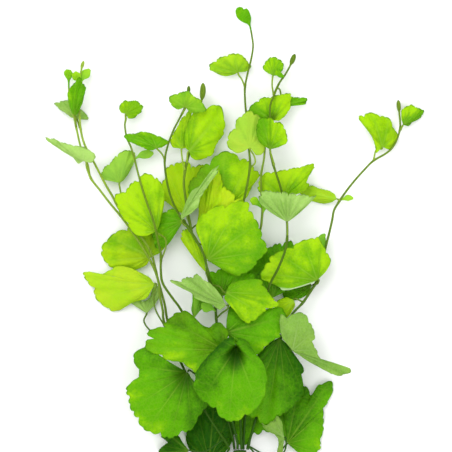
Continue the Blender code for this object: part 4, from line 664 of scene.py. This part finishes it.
def cut_at_parent(path, parent_line):
    """The path up to where it has just gone into its parent."""
    last = len(path)
    while last > 3:
        point = path[last - 2]
        if np.linalg.norm(nearest_place(point, parent_line) - point) >= STEM_RADIUS * JOINT_DEPTH:
            break
        last -= 1
    return path[:last]


def frames(path, first_side):
    """A pair of axes across the path at each of its points, turning as little as they can."""
    side = first_side
    rows = []
    for tangent in np.gradient(path, axis=0):
        tangent = unit(tangent)
        side = unit(side - tangent * side.dot(tangent))
        rows.append((side, np.cross(tangent, side)))
    return rows


class Surface:
    """Vertices, faces and painted values of one piece while it is put together."""

    NAMES = ("reach", "vein_gap", "between", "rim_gap", "fold", "tone", "warmth", "shade", "pale")

    def __init__(self, **look):
        self.look = look
        self.vertices = []
        self.faces = []
        self.slots = []
        self.values = {name: [] for name in self.NAMES}

    def add(self, vertices, faces, slot, **values):
        start = len(self.vertices)
        self.vertices.extend(vertices)
        self.faces.extend(tuple(start + k for k in face) for face in faces)
        self.slots.extend([slot] * len(faces))
        for name in self.NAMES:
            given = values.get(name, self.look.get(name, 0.0))
            self.values[name].extend(np.broadcast_to(given, len(vertices)).tolist())

    def add_tube(self, line, widths, heights, sides, slot, **values):
        """A closed tube along the line, with half its width and half its height at each point."""
        turn = 2 * math.pi * np.arange(sides) / sides
        across = np.cross(line[-1] - line[0], (0.0, 0.0, 1.0))
        rings = []
        for centre, width, height, (side, up) in zip(line, widths, heights, frames(line, across)):
            rings.append(centre + width * np.cos(turn)[:, None] * side + height * np.sin(turn)[:, None] * up)
        self.add(list(np.concatenate(rings)), tube_faces(len(line), sides), slot, **values)

    def make(self, name, materials):
        mesh = bpy.data.meshes.new(name)
        mesh.from_pydata((np.array(self.vertices) * MM).tolist(), [], self.faces)
        mesh.polygons.foreach_set("material_index", self.slots)
        for material in materials:
            mesh.materials.append(material)
        for key, values in self.values.items():
            attribute = mesh.attributes.new(key, "FLOAT", "POINT")
            attribute.data.foreach_set("value", np.array(values, dtype=np.float32))
        mesh.shade_smooth()
        obj = bpy.data.objects.new(name, mesh)
        bpy.context.scene.collection.objects.link(obj)
        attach(obj, "root")
        return obj


def tube_faces(rings, sides):
    faces = []
    for ring in range(rings - 1):
        for k in range(sides):
            a, b = ring * sides + k, ring * sides + (k + 1) % sides
            faces.append((a, b, b + sides, a + sides))
    faces.append(tuple(reversed(range(sides))))
    faces.append(tuple(range((rings - 1) * sides, rings * sides)))
    return faces


def blade_frame(leaf):
    """Hub, midrib vector, the two side vectors and the blade's upward normal."""
    hub, tip, side_a, side_b = (vec(leaf[key]) for key in ("hub", "tip", "a", "b"))
    normal = unit(np.cross(side_b - side_a, tip - hub))
    if normal[2] < 0:
        normal = -normal
    return hub, tip - hub, side_a - hub, side_b - hub, normal


def rim_curve(leaf):
    """Turn from the midrib, positive on side a, and vector from the hub at even steps; the rim's length."""
    hub, midrib, side_a, side_b, _ = blade_frame(leaf)
    tip = (hub + midrib)[:2] + (0, MIDDLE_Y)
    curve = smooth_path(leaf["rim_b"][::-1] + [tip] + leaf["rim_a"], RIM_STEP)
    travelled = lengths_along(curve)
    wanted = np.linspace(0, travelled[-1], LOBES * COLUMNS_PER_LOBE + 1)
    away = np.stack([np.interp(wanted, travelled, curve[:, k]) for k in (0, 1)], axis=1)
    away = away - hub[:2] - (0, MIDDLE_Y)
    on_a = cross(midrib, away) * cross(midrib, side_a) > 0
    side = np.where(on_a[:, None], side_a, side_b)
    out = cross(midrib, away) / cross(midrib, side)
    along = cross(away, side) / cross(midrib, side)
    vectors = along[:, None] * midrib + out[:, None] * side
    along = np.where(along < 0, along / leaf.get("back", BLADE_BACK), along)
    angle = np.arctan2(out, along) * np.where(on_a, 1, -1)
    return np.maximum.accumulate(angle), vectors, travelled[-1]


def lobe_place(share, phase):
    """Counts the lobes along the rim from 0; some are wider than others."""
    drift = 0.35 * math.sin(phase) * np.sin(2 * math.pi * share)
    drift += 0.2 * math.cos(1.7 * phase) * np.sin(4 * math.pi * share)
    return np.clip(share * LOBES + drift, 0, LOBES)


def margin(angle, lobe, phase):
    """Rounded teeth of the rim, one row for the lobes and a finer one inside them, on an uneven curve."""
    large = 2 * np.sqrt(np.abs(np.sin(math.pi * lobe))) - 1
    small = 2 * np.sqrt(np.abs(np.sin(math.pi * SMALL_SCALLOPS * lobe))) - 1
    uneven = 0.6 * np.sin(2 * angle + phase) + 0.5 * np.sin(3 * angle + 2.1 * phase)
    strength = 0.85 + 0.4 * np.sin(1.5 * lobe + phase)
    return SCALLOP_DEPTH * large * strength + SMALL_SCALLOP_DEPTH * small + UNEVEN * uneven


def curled(leaf, rim, share, r):
    """How far each point of a blade is curled up: 1 at the rim of a fold, 0 outside it."""
    if "curl" not in leaf:
        return np.zeros_like(r)
    start, end = leaf["curl"]
    folded = np.clip((share - start) / FOLD_END, 0, 1) * np.clip((end - share) / FOLD_END, 0, 1)
    along_rim = np.gradient(rim, axis=0)
    depth = np.linalg.norm(np.cross(rim, along_rim), axis=1) / np.linalg.norm(along_rim, axis=1)
    inward = np.clip(1 - (1 - r) * depth[:, None] / FOLD_WIDTH, 0, 1)
    return folded[:, None] * inward * np.clip(r / UNFOLDED_REACH, 0, 1)


def blade_grid(leaf, phase):
    """Middle surface of a blade as grid[column, ring] with the values painted on it."""
    hub, *_, normal = blade_frame(leaf)
    angle, rim, rim_length = rim_curve(leaf)
    reach = FIRST_RING + (1 - FIRST_RING) * np.linspace(0, 1, RINGS) ** RING_SPREAD
    share = np.linspace(0, 1, len(angle))
    lobe = lobe_place(share, phase)
    between = 2 * np.abs(lobe - np.floor(lobe) - 0.5)[:, None]
    r, a = np.meshgrid(reach, angle)
    length = np.linalg.norm(rim, axis=1)[:, None]
    size = np.minimum(1.0, length / FULL_RELIEF)
    vein_gap = between * r * rim_length / (2 * LOBES)
    flat = rim[:, None, :] * (r * (1 + margin(angle, lobe, phase)[:, None] * r**2))[:, :, None]
    dome = leaf.get("bulge", DOME_HEIGHT) * size * 4 * r * (1 - r)
    hollow = leaf.get("funnel", 0) * np.maximum(0.0, 1 - r / HOLLOW_REACH) ** 2
    wave = WAVE_HEIGHT * size * r**2 * np.sin(WAVES * a)
    ruffle = np.sin(RUFFLES[0] * a + phase) + 0.6 * np.sin(RUFFLES[1] * a + 2.3 * phase)
    quilt = QUILT_HEIGHT * size * np.sin(between * math.pi / 2) ** 2 * r * (1.3 - r)
    puff = PUFF_HEIGHT * size * np.abs(np.sin(math.pi * (SIDE_VEINS * r - SIDE_VEIN_SLANT * between))) * r
    groove = VEIN_DEPTH * np.exp(-(vein_gap / VEIN_WIDTH) ** 2) * np.sqrt(r)
    fold = curled(leaf, rim, share, r)
    height = dome - hollow + wave + RUFFLE_HEIGHT * size * r**3 * ruffle + quilt + puff - groove
    height = height + FOLD_HEIGHT * fold**2
    grid = hub + flat + height[:, :, None] * normal
    grid[:, :, 2] = np.maximum(grid[:, :, 2], LOWEST_BLADE)
    # painted light and shade across the blade: brighter toward side a and toward the tip, added to the leaf's
    # tone
    to_side, to_tip = leaf.get("lean", (0.0, 0.0))
    lean = r * (to_side * np.sin(a) + to_tip * np.cos(a)) - 0.4 * to_tip
    values = dict(reach=r, vein_gap=vein_gap, between=np.broadcast_to(between, r.shape),
                  rim_gap=(1 - r) * length, fold=fold, lean=lean)
    return grid, values, normal


def grid_normals(grid, normal):
    across = np.gradient(grid, axis=0)
    outward = np.gradient(grid, axis=1)
    total = np.cross(across, outward)
    total /= np.maximum(np.linalg.norm(total, axis=2, keepdims=True), 1e-9)
    return total * np.where((total * normal).sum(axis=2, keepdims=True) < 0, -1, 1)


def add_blade(surface, leaf, phase):
    """A thin closed blade: slot 0 is its upper face, slot 1 its lower face."""
    grid, values, normal = blade_grid(leaf, phase)
    normals = grid_normals(grid, normal)
    columns, rings = grid.shape[:2]
    thin = np.minimum(1, (1 - values["reach"]) / THIN_EDGE)
    thin = RIM_THICKNESS + (THICKNESS - RIM_THICKNESS) * thin
    half = normals * thin[:, :, None] / 2
    middle = grid[:, 0].mean(axis=0)
    flip = np.cross(grid[1, 1] - grid[0, 0], grid[0, 1] - grid[1, 0]).dot(normal) < 0
    index = np.arange(columns * rings).reshape(columns, rings)
    corners = (index[:-1, :-1], index[1:, :-1], index[1:, 1:], index[:-1, 1:])
    quads = np.stack(corners, axis=2).reshape(-1, 4)
    centre = columns * rings
    fan = [(centre, index[c + 1, 0], index[c, 0]) for c in range(columns - 1)]
    painted_on = {key: np.append(value.ravel(), value.ravel()[0]) for key, value in values.items()}
    painted_on["tone"] = surface.look["tone"] + painted_on.pop("lean")
    faces = [tuple(q) for q in quads] + fan
    upper = np.vstack(((grid + half).reshape(-1, 3), middle + normal * THICKNESS / 2))
    lower = np.vstack(((grid - half).reshape(-1, 3), middle - normal * THICKNESS / 2))
    turned = [face[::-1] for face in faces]
    start = len(surface.vertices)
    surface.add(list(upper), faces if flip else turned, 0, **painted_on)
    surface.add(list(lower), turned if flip else faces, 1, **painted_on)
    layer = len(upper)
    edge = [(index[c, rings - 1], index[c + 1, rings - 1]) for c in range(columns - 1)]
    edge += [(index[0, k + 1], index[0, k]) for k in range(rings - 1)] + [(index[0, 0], centre)]
    edge += [(index[-1, k], index[-1, k + 1]) for k in range(rings - 1)] + [(centre, index[-1, 0])]
    for a, b in edge:
        wall = (start + a, start + b, start + layer + b, start + layer + a)
        surface.faces.append(wall[::-1] if flip else wall)
        surface.slots.append(0)


def petiole_route(leaf):
    """From the hub, above or below the blade, through the leaf's own points to the stem."""
    hub, midrib, _, _, normal = blade_frame(leaf)
    hub = hub - normal * leaf.get("funnel", 0)
    points = [vec(p) for p in leaf["petiole"]]
    side = 1 if (points[0] - hub).dot(normal) > 0 else -1
    behind, away = PETIOLE_START
    return [hub, hub - unit(midrib) * behind + side * normal * away] + points


def add_petiole(surface, leaf, stem_line):
    route = petiole_route(leaf)
    end = nearest_place(route[-1], stem_line)
    if np.linalg.norm(end - route[-1]) > SHORT_OF_STEM:
        route.append(end)
    line = cut_at_parent(smooth_path(route, PETIOLE_STEP), stem_line)
    travelled = lengths_along(line)
    (at_hub, hub_length), (at_stem, stem_length) = PETIOLE_SWELLING
    radii = 1 + at_hub * np.exp(-travelled / hub_length)
    radii = PETIOLE_RADIUS * (radii + at_stem * np.exp(-(travelled[-1] - travelled) / stem_length))
    radii[0] *= 0.5
    surface.add_tube(line, radii, radii, PETIOLE_SIDES, 2, reach=0.0, vein_gap=5.0, between=1.0, rim_gap=5.0)


def make_leaf(name, leaf, stem_lines, materials, phase):
    tone, warmth, shade = leaf["look"]
    surface = Surface(tone=tone, warmth=warmth, shade=shade, pale=leaf.get("faded", 0.0))
    add_blade(surface, leaf, phase)
    add_petiole(surface, leaf, stem_lines[leaf["stem"]])
    if leaf.get("under"):
        surface.slots = [(1, 0, 2)[slot] for slot in surface.slots]
    obj = surface.make(name + "_blade", materials)
    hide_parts(name)


def stem_radius(stem, distance, length):
    """Radius at a distance from the tip: a closed bud at the tip where there is one, then a slow swelling."""
    radius = STEM_TIP_RADIUS + (STEM_RADIUS - STEM_TIP_RADIUS) * min(1.0, 2 * distance / length)
    bud_length, bud_radius = stem.get("bud", (0, 0))
    if distance < bud_length:
        round_bud = bud_radius * math.sqrt(max(0.0, 1 - (2 * distance / bud_length - 1) ** 2))
        return max(BUD_TIP_RADIUS, round_bud, radius * distance / bud_length)
    return radius * min(1.0, 0.5 + distance / TIP_LENGTH)


def node_swelling(stem_name, line):
    """A slight thickening of the stem wherever a petiole joins it."""
    swelling = np.ones(len(line))
    for leaf in LEAVES.values():
        if leaf["stem"] == stem_name:
            away = np.linalg.norm(line - vec(leaf["petiole"][-1]), axis=1)
            swelling += NODE_SWELLING * np.exp(-((away - away.min()) / NODE_LENGTH) ** 2)
    return np.minimum(swelling, FULLEST_NODE)


def add_young_leaf(surface, young):
    """A small leaf that has not yet opened flat: a flattened tube along its middle."""
    tone, pale = young["look"]
    path = smooth_path([np.append(vec(point), point[3]) for point in young["points"]], YOUNG_STEP)
    widths = np.maximum(YOUNG_LEAST_WIDTH, path[:, 3])
    heights = np.minimum(YOUNG_THICKNESS / 2, widths)
    travelled = lengths_along(path)
    reach = np.repeat(travelled / travelled[-1], YOUNG_SIDES)
    surface.add_tube(path[:, :3], widths, heights, YOUNG_SIDES, 1, reach=reach, vein_gap=2.0, between=0.5,
                     rim_gap=3.0, tone=tone, pale=pale)


def make_stem(name, stem, stem_lines, materials):
    surface = Surface(tone=stem["tone"])
    line = stem_lines[name]
    if "parent" in stem:
        line = cut_at_parent(line, stem_lines[stem["parent"]])
    travelled = lengths_along(line)
    radii = np.array([stem_radius(stem, distance, travelled[-1]) for distance in travelled])
    radii = radii * node_swelling(name, line)
    surface.add_tube(line, radii, radii, STEM_SIDES, 0, reach=0.5, vein_gap=5.0, between=1.0, rim_gap=5.0)
    for young in YOUNG_LEAVES.values():
        if young["stem"] == name:
            add_young_leaf(surface, young)
    obj = surface.make(name + "_grown", materials)
    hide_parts(name)


def make_stock(materials):
    """The short stock that the shoots leave, with shallow grooves along it and a cut end."""
    surface = Surface(tone=0.2)
    turn = 2 * math.pi * np.arange(STOCK_SIDES) / STOCK_SIDES
    rings = []
    for y, radius in STOCK_PROFILE:
        groove = GROOVE_DEPTH * (0.5 + 0.5 * np.cos(STOCK_GROOVES * turn)) * min(1.0, 0.35 + y / STOCK_LENGTH)
        grooved = radius * (1 - groove)
        away = np.stack((grooved * np.cos(turn), np.zeros(STOCK_SIDES), grooved * np.sin(turn)), axis=1)
        rings.append(vec((STOCK_X, y, STOCK_RADIUS)) + away)
    surface.add(list(np.concatenate(rings)), tube_faces(len(STOCK_PROFILE), STOCK_SIDES), 0)
    surface.slots[-2:] = [1, 0]
    obj = surface.make("stem_base_grown", materials)
    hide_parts("stem_base")


def node(tree, kind, **settings):
    """Adds a shader node; settings are its properties, or its inputs by name."""
    made = tree.nodes.new(kind)
    for key, value in settings.items():
        if hasattr(made, key):
            setattr(made, key, value)
        else:
            made.inputs[key.replace("_", " ")].default_value = value
    return made


def put(tree, value, socket):
    """Links an output to a socket, or sets a plain value on it."""
    if isinstance(value, bpy.types.NodeSocket):
        tree.links.new(value, socket)
    else:
        socket.default_value = value


def calc(tree, operation, first, second=0.0):
    made = node(tree, "ShaderNodeMath", operation=operation)
    put(tree, first, made.inputs[0])
    put(tree, second, made.inputs[1])
    return made.outputs[0]


def times(tree, first, second):
    return calc(tree, "MULTIPLY", first, second)


def plus(tree, first, second):
    return calc(tree, "ADD", first, second)


def band(tree, value, low, high, to_low=0.0, to_high=1.0):
    """Maps low..high to to_low..to_high with soft ends."""
    made = node(tree, "ShaderNodeMapRange", interpolation_type="SMOOTHSTEP",
                From_Min=low, From_Max=high, To_Min=to_low, To_Max=to_high)
    put(tree, value, made.inputs["Value"])
    return made.outputs[0]


def blend(tree, share, first, second):
    made = node(tree, "ShaderNodeMix", data_type="RGBA")
    put(tree, share, made.inputs[0])
    put(tree, first, made.inputs[6])
    put(tree, second, made.inputs[7])
    return made.outputs[2]


def painted(tree, name):
    return node(tree, "ShaderNodeAttribute", attribute_name=name).outputs["Fac"]


def own_place(tree):
    return node(tree, "ShaderNodeTexCoord").outputs["Object"]


def noise(tree, scale, detail=3.0):
    made = node(tree, "ShaderNodeTexNoise", Scale=scale, Detail=detail, Roughness=0.55)
    tree.links.new(own_place(tree), made.inputs["Vector"])
    return made.outputs["Fac"]


def cells(tree, scale):
    """Distance to the nearest edge of a fine net, as between the smallest veins."""
    made = node(tree, "ShaderNodeTexVoronoi", feature="DISTANCE_TO_EDGE", Scale=scale)
    tree.links.new(own_place(tree), made.inputs["Vector"])
    return made.outputs["Distance"]


def srgb(red, green, blue):
    """A colour given as 0 to 255, turned to the linear values that a shader takes."""
    values = []
    for part in (red, green, blue):
        part = part / 255
        values.append(part / 12.92 if part <= 0.04045 else ((part + 0.055) / 1.055) ** 2.4)
    return (*values, 1.0)


def new_material(name):
    material = bpy.data.materials.new(name)
    material.use_nodes = True
    material.node_tree.nodes.clear()
    return material, material.node_tree


def skin_shader(tree, colour, roughness, specular, height, strength, depth):
    """The outputs of a Principled shader with a fine relief, and of the relief's normal."""
    bump = node(tree, "ShaderNodeBump", Strength=strength, Distance=depth)
    tree.links.new(height, bump.inputs["Height"])
    shader = node(tree, "ShaderNodeBsdfPrincipled", Specular_IOR_Level=specular)
    tree.links.new(colour, shader.inputs["Base Color"])
    put(tree, roughness, shader.inputs["Roughness"])
    tree.links.new(bump.outputs["Normal"], shader.inputs["Normal"])
    return shader.outputs[0], bump.outputs["Normal"]


def show(tree, shader):
    out = node(tree, "ShaderNodeOutputMaterial")
    tree.links.new(shader, out.inputs["Surface"])


def side_veins(tree, reach):
    """Thin veins that leave each main vein at a slant: 1 on a vein, 0 between."""
    slant = times(tree, painted(tree, "between"), SIDE_VEIN_SLANT)
    slanted = calc(tree, "SUBTRACT", times(tree, reach, SIDE_VEINS), slant)
    saw = calc(tree, "PINGPONG", plus(tree, slanted, 20.0), 0.5)
    return times(tree, band(tree, saw, 0.0, SIDE_VEIN_WIDTH, 1.0, 0.0), band(tree, reach, 0.2, 0.45))


def leaf_tone(tree, own_tone, reach, fine):
    """A leaf's own tone, with patches and specks, darker toward the hub, with painted shade along the main
    veins and painted light between them.
    """
    patches = calc(tree, "SUBTRACT", noise(tree, PATCH_SCALE), 0.5)
    patches = times(tree, patches, band(tree, own_tone, 0.1, 0.8, 0.35, 1.0))
    specks = times(tree, calc(tree, "SUBTRACT", fine, 0.5), SPECKS_SHOW)
    tone = plus(tree, plus(tree, own_tone, patches), specks)
    tone = times(tree, tone, band(tree, reach, 0.0, 0.95, *TONE_BY_REACH))
    return times(tree, tone, band(tree, painted(tree, "between"), 0.0, 0.9, *VEIN_SHADE_AND_LIGHT))


def leaf_material(name, colours, glow_colour, net_shows, roughness):
    """A leaf face. colours holds its dark, middle, bright and warm tones, its veins and its rim."""
    dark, middle, bright, warm, vein_tint, edge_tint = (srgb(*c) for c in colours)
    material, tree = new_material(name)
    reach = painted(tree, "reach")
    gap = painted(tree, "vein_gap")
    own_tone = painted(tree, "tone")
    fine = noise(tree, SPECK_SCALE, 2.0)
    tone = leaf_tone(tree, own_tone, reach, fine)
    colour = blend(tree, band(tree, tone, 0.0, 0.5), dark, middle)
    colour = blend(tree, band(tree, tone, 0.5, 1.0), colour, bright)
    warm_patches = band(tree, noise(tree, WARM_SCALE), 0.35, 0.65, 0.4, 1.6)
    colour = blend(tree, times(tree, painted(tree, "warmth"), warm_patches), colour, warm)
    colour = blend(tree, painted(tree, "pale"), colour, srgb(*FADED_COLOUR))
    main = band(tree, gap, *MAIN_VEIN_BOUNDS, 1.0, 0.0)
    main = times(tree, main, band(tree, reach, 0.02, 1.0, 1.0, 0.25))
    side = side_veins(tree, reach)
    net = band(tree, cells(tree, NET_SCALE), 0.0, NET_WIDTH, 1.0, 0.0)
    veins = calc(tree, "MAXIMUM", times(tree, main, MAIN_VEINS_SHOW), times(tree, side, SIDE_VEINS_SHOW))
    net_share = band(tree, own_tone, 0.0, 0.5, 0.5 * net_shows, net_shows)
    veins = calc(tree, "MAXIMUM", veins, times(tree, net, net_share))
    veins = times(tree, veins, band(tree, own_tone, 0.1, 0.7, 0.6, 1.0))
    colour = blend(tree, veins, colour, vein_tint)
    rim = band(tree, painted(tree, "rim_gap"), *MARGIN_BOUNDS, 0.85, 0.0)
    colour = blend(tree, times(tree, rim, band(tree, gap, 0.3, 1.6, 1.0, 0.3)), colour, edge_tint)
    # painted shade: the blade is darkened near its hub, where shade falls in its hollow
    hollow = times(tree, painted(tree, "shade"), band(tree, reach, 0.1, 0.44, 1.0, 0.0))
    colour = blend(tree, hollow, colour, srgb(*HOLLOW_SHADE_COLOUR))
    colour = blend(tree, band(tree, painted(tree, "fold"), 0.25, 0.75), colour, srgb(*FOLD_COLOUR))
    relief = times(tree, main, RELIEF_OF["main"])
    for part, key in ((side, "side"), (net, "net"), (fine, "specks")):
        relief = plus(tree, relief, times(tree, part, RELIEF_OF[key]))
    rough = band(tree, fine, 0.3, 0.7, roughness - 0.06, roughness + 0.08)
    shader, normal = skin_shader(tree, colour, rough, LEAF_SPECULAR, relief, *LEAF_RELIEF)
    glow = node(tree, "ShaderNodeBsdfTranslucent")
    tree.links.new(blend(tree, 0.5, colour, srgb(*glow_colour)), glow.inputs["Color"])
    tree.links.new(normal, glow.inputs["Normal"])
    mixed = node(tree, "ShaderNodeMixShader")
    mixed.inputs[0].default_value = SHARE_THROUGH
    tree.links.new(shader, mixed.inputs[1])
    tree.links.new(glow.outputs[0], mixed.inputs[2])
    show(tree, mixed.outputs[0])
    return material


def stem_material():
    """Smooth skin with long fine streaks, darker toward the cut end of the bunch."""
    deep, skin, light = (srgb(*c) for c in STEM_COLOURS)
    material, tree = new_material("stem_skin")
    drawn_out = node(tree, "ShaderNodeMapping", Scale=(1.0, STREAK_STRETCH, 1.0))
    tree.links.new(own_place(tree), drawn_out.inputs["Vector"])
    streaks = node(tree, "ShaderNodeTexNoise", Scale=STREAK_SCALE, Detail=2.0)
    tree.links.new(drawn_out.outputs[0], streaks.inputs["Vector"])
    streaks = streaks.outputs["Fac"]
    colour = blend(tree, band(tree, painted(tree, "tone"), 0.1, 1.0), skin, light)
    colour = blend(tree, band(tree, streaks, 0.35, 0.65, 0.0, 0.35), colour, deep)
    parts = node(tree, "ShaderNodeSeparateXYZ")
    tree.links.new(own_place(tree), parts.inputs[0])
    colour = blend(tree, band(tree, parts.outputs["Y"], *STEMS_DARKEN, 0.95, 0.0), colour, deep)
    rough = band(tree, streaks, 0.3, 0.7, *STEM_ROUGHNESS)
    shader, _ = skin_shader(tree, colour, rough, STEM_SPECULAR, streaks, *STEM_RELIEF)
    show(tree, shader)
    return material


def cut_material():
    """Fresh cut end: pale pith with a darker ring of skin."""
    material, tree = new_material("cut_end")
    colour = blend(tree, band(tree, noise(tree, PITH_SCALE), 0.35, 0.65), *(srgb(*c) for c in PITH_COLOURS))
    height = noise(tree, PITH_RELIEF_SCALE)
    shader, _ = skin_shader(tree, colour, CUT_ROUGHNESS, PLAIN_SPECULAR, height, *CUT_RELIEF)
    show(tree, shader)
    return material


def make_floor():
    reach = FLOOR_REACH
    corners = [(-reach, -reach, 0), (reach, -reach, 0), (reach, reach, 0), (-reach, reach, 0)]
    mesh = bpy.data.meshes.new("floor")
    mesh.from_pydata(corners, [], [(0, 1, 2, 3)])
    floor = bpy.data.objects.new("floor", mesh)
    bpy.context.scene.collection.objects.link(floor)
    material, tree = new_material("pale_floor")
    shader = node(tree, "ShaderNodeBsdfPrincipled", Roughness=FLOOR_ROUGHNESS, Base_Color=FLOOR_COLOUR)
    show(tree, shader.outputs[0])
    mesh.materials.append(material)


def make_light(name, at, size, power):
    """A round area light that points at the bunch."""
    data = bpy.data.lights.new(name, "AREA")
    data.shape = "DISK"
    data.size = size
    data.energy = power
    light = bpy.data.objects.new(name, data)
    light.location = at
    light.rotation_euler = (-mathutils.Vector(at)).to_track_quat("-Z", "Y").to_euler()
    bpy.context.scene.collection.objects.link(light)


def make_sky():
    world = bpy.data.worlds.new("studio")
    world.use_nodes = True
    background = world.node_tree.nodes["Background"]
    background.inputs["Color"].default_value = (1, 1, 1, 1)
    background.inputs["Strength"].default_value = SKY_STRENGTH
    bpy.context.scene.world = world


def make_camera():
    """Looks straight down on the bunch, from far away, with the shoot tips at the top of the picture."""
    data = bpy.data.cameras.new("camera")
    data.sensor_width = SENSOR_WIDTH
    data.lens = data.sensor_width * CAMERA_HEIGHT / (PICTURE_PIXELS * PIXEL * MM)
    data.clip_start, data.clip_end = CLIP
    camera = bpy.data.objects.new("camera", data)
    x, y = place(*PICTURE_MIDDLE)
    camera.location = (x * MM, (y - MIDDLE_Y) * MM, CAMERA_HEIGHT)
    bpy.context.scene.collection.objects.link(camera)
    bpy.context.scene.camera = camera


def corners(box):
    return [[float(value) for value in corner] for corner in box]


def main():
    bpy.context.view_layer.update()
    for own in [o for o in bpy.data.objects if o.name in ("Cube", "Light", "Camera")]:  # Blender's own
        bpy.data.objects.remove(own, do_unlink=True)
    bpy.context.scene.view_settings.view_transform = "Standard"
    upper = leaf_material("leaf_upper", UPPER_COLOURS, UPPER_GLOW, UPPER_NET_SHOWS, UPPER_ROUGHNESS)
    lower = leaf_material("leaf_lower", LOWER_COLOURS, LOWER_GLOW, LOWER_NET_SHOWS, LOWER_ROUGHNESS)
    stem = stem_material()
    stem_lines = {}
    for name, row in STEMS.items():
        stem_lines[name] = smooth_path([vec(p) for p in row["points"]], STEM_STEP)
    for name, row in STEMS.items():
        make_stem(name, row, stem_lines, (stem, upper))
    make_stock((stem, cut_material()))
    for number, (name, leaf) in enumerate(LEAVES.items()):
        make_leaf(name, leaf, stem_lines, (upper, lower, stem), PHASE_STEP * number)
    make_floor()
    make_sky()
    make_light("key", **KEY_LIGHT)
    make_light("fill", **FILL_LIGHT)
    make_camera()
    bpy.context.view_layer.update()
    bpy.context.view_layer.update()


main()
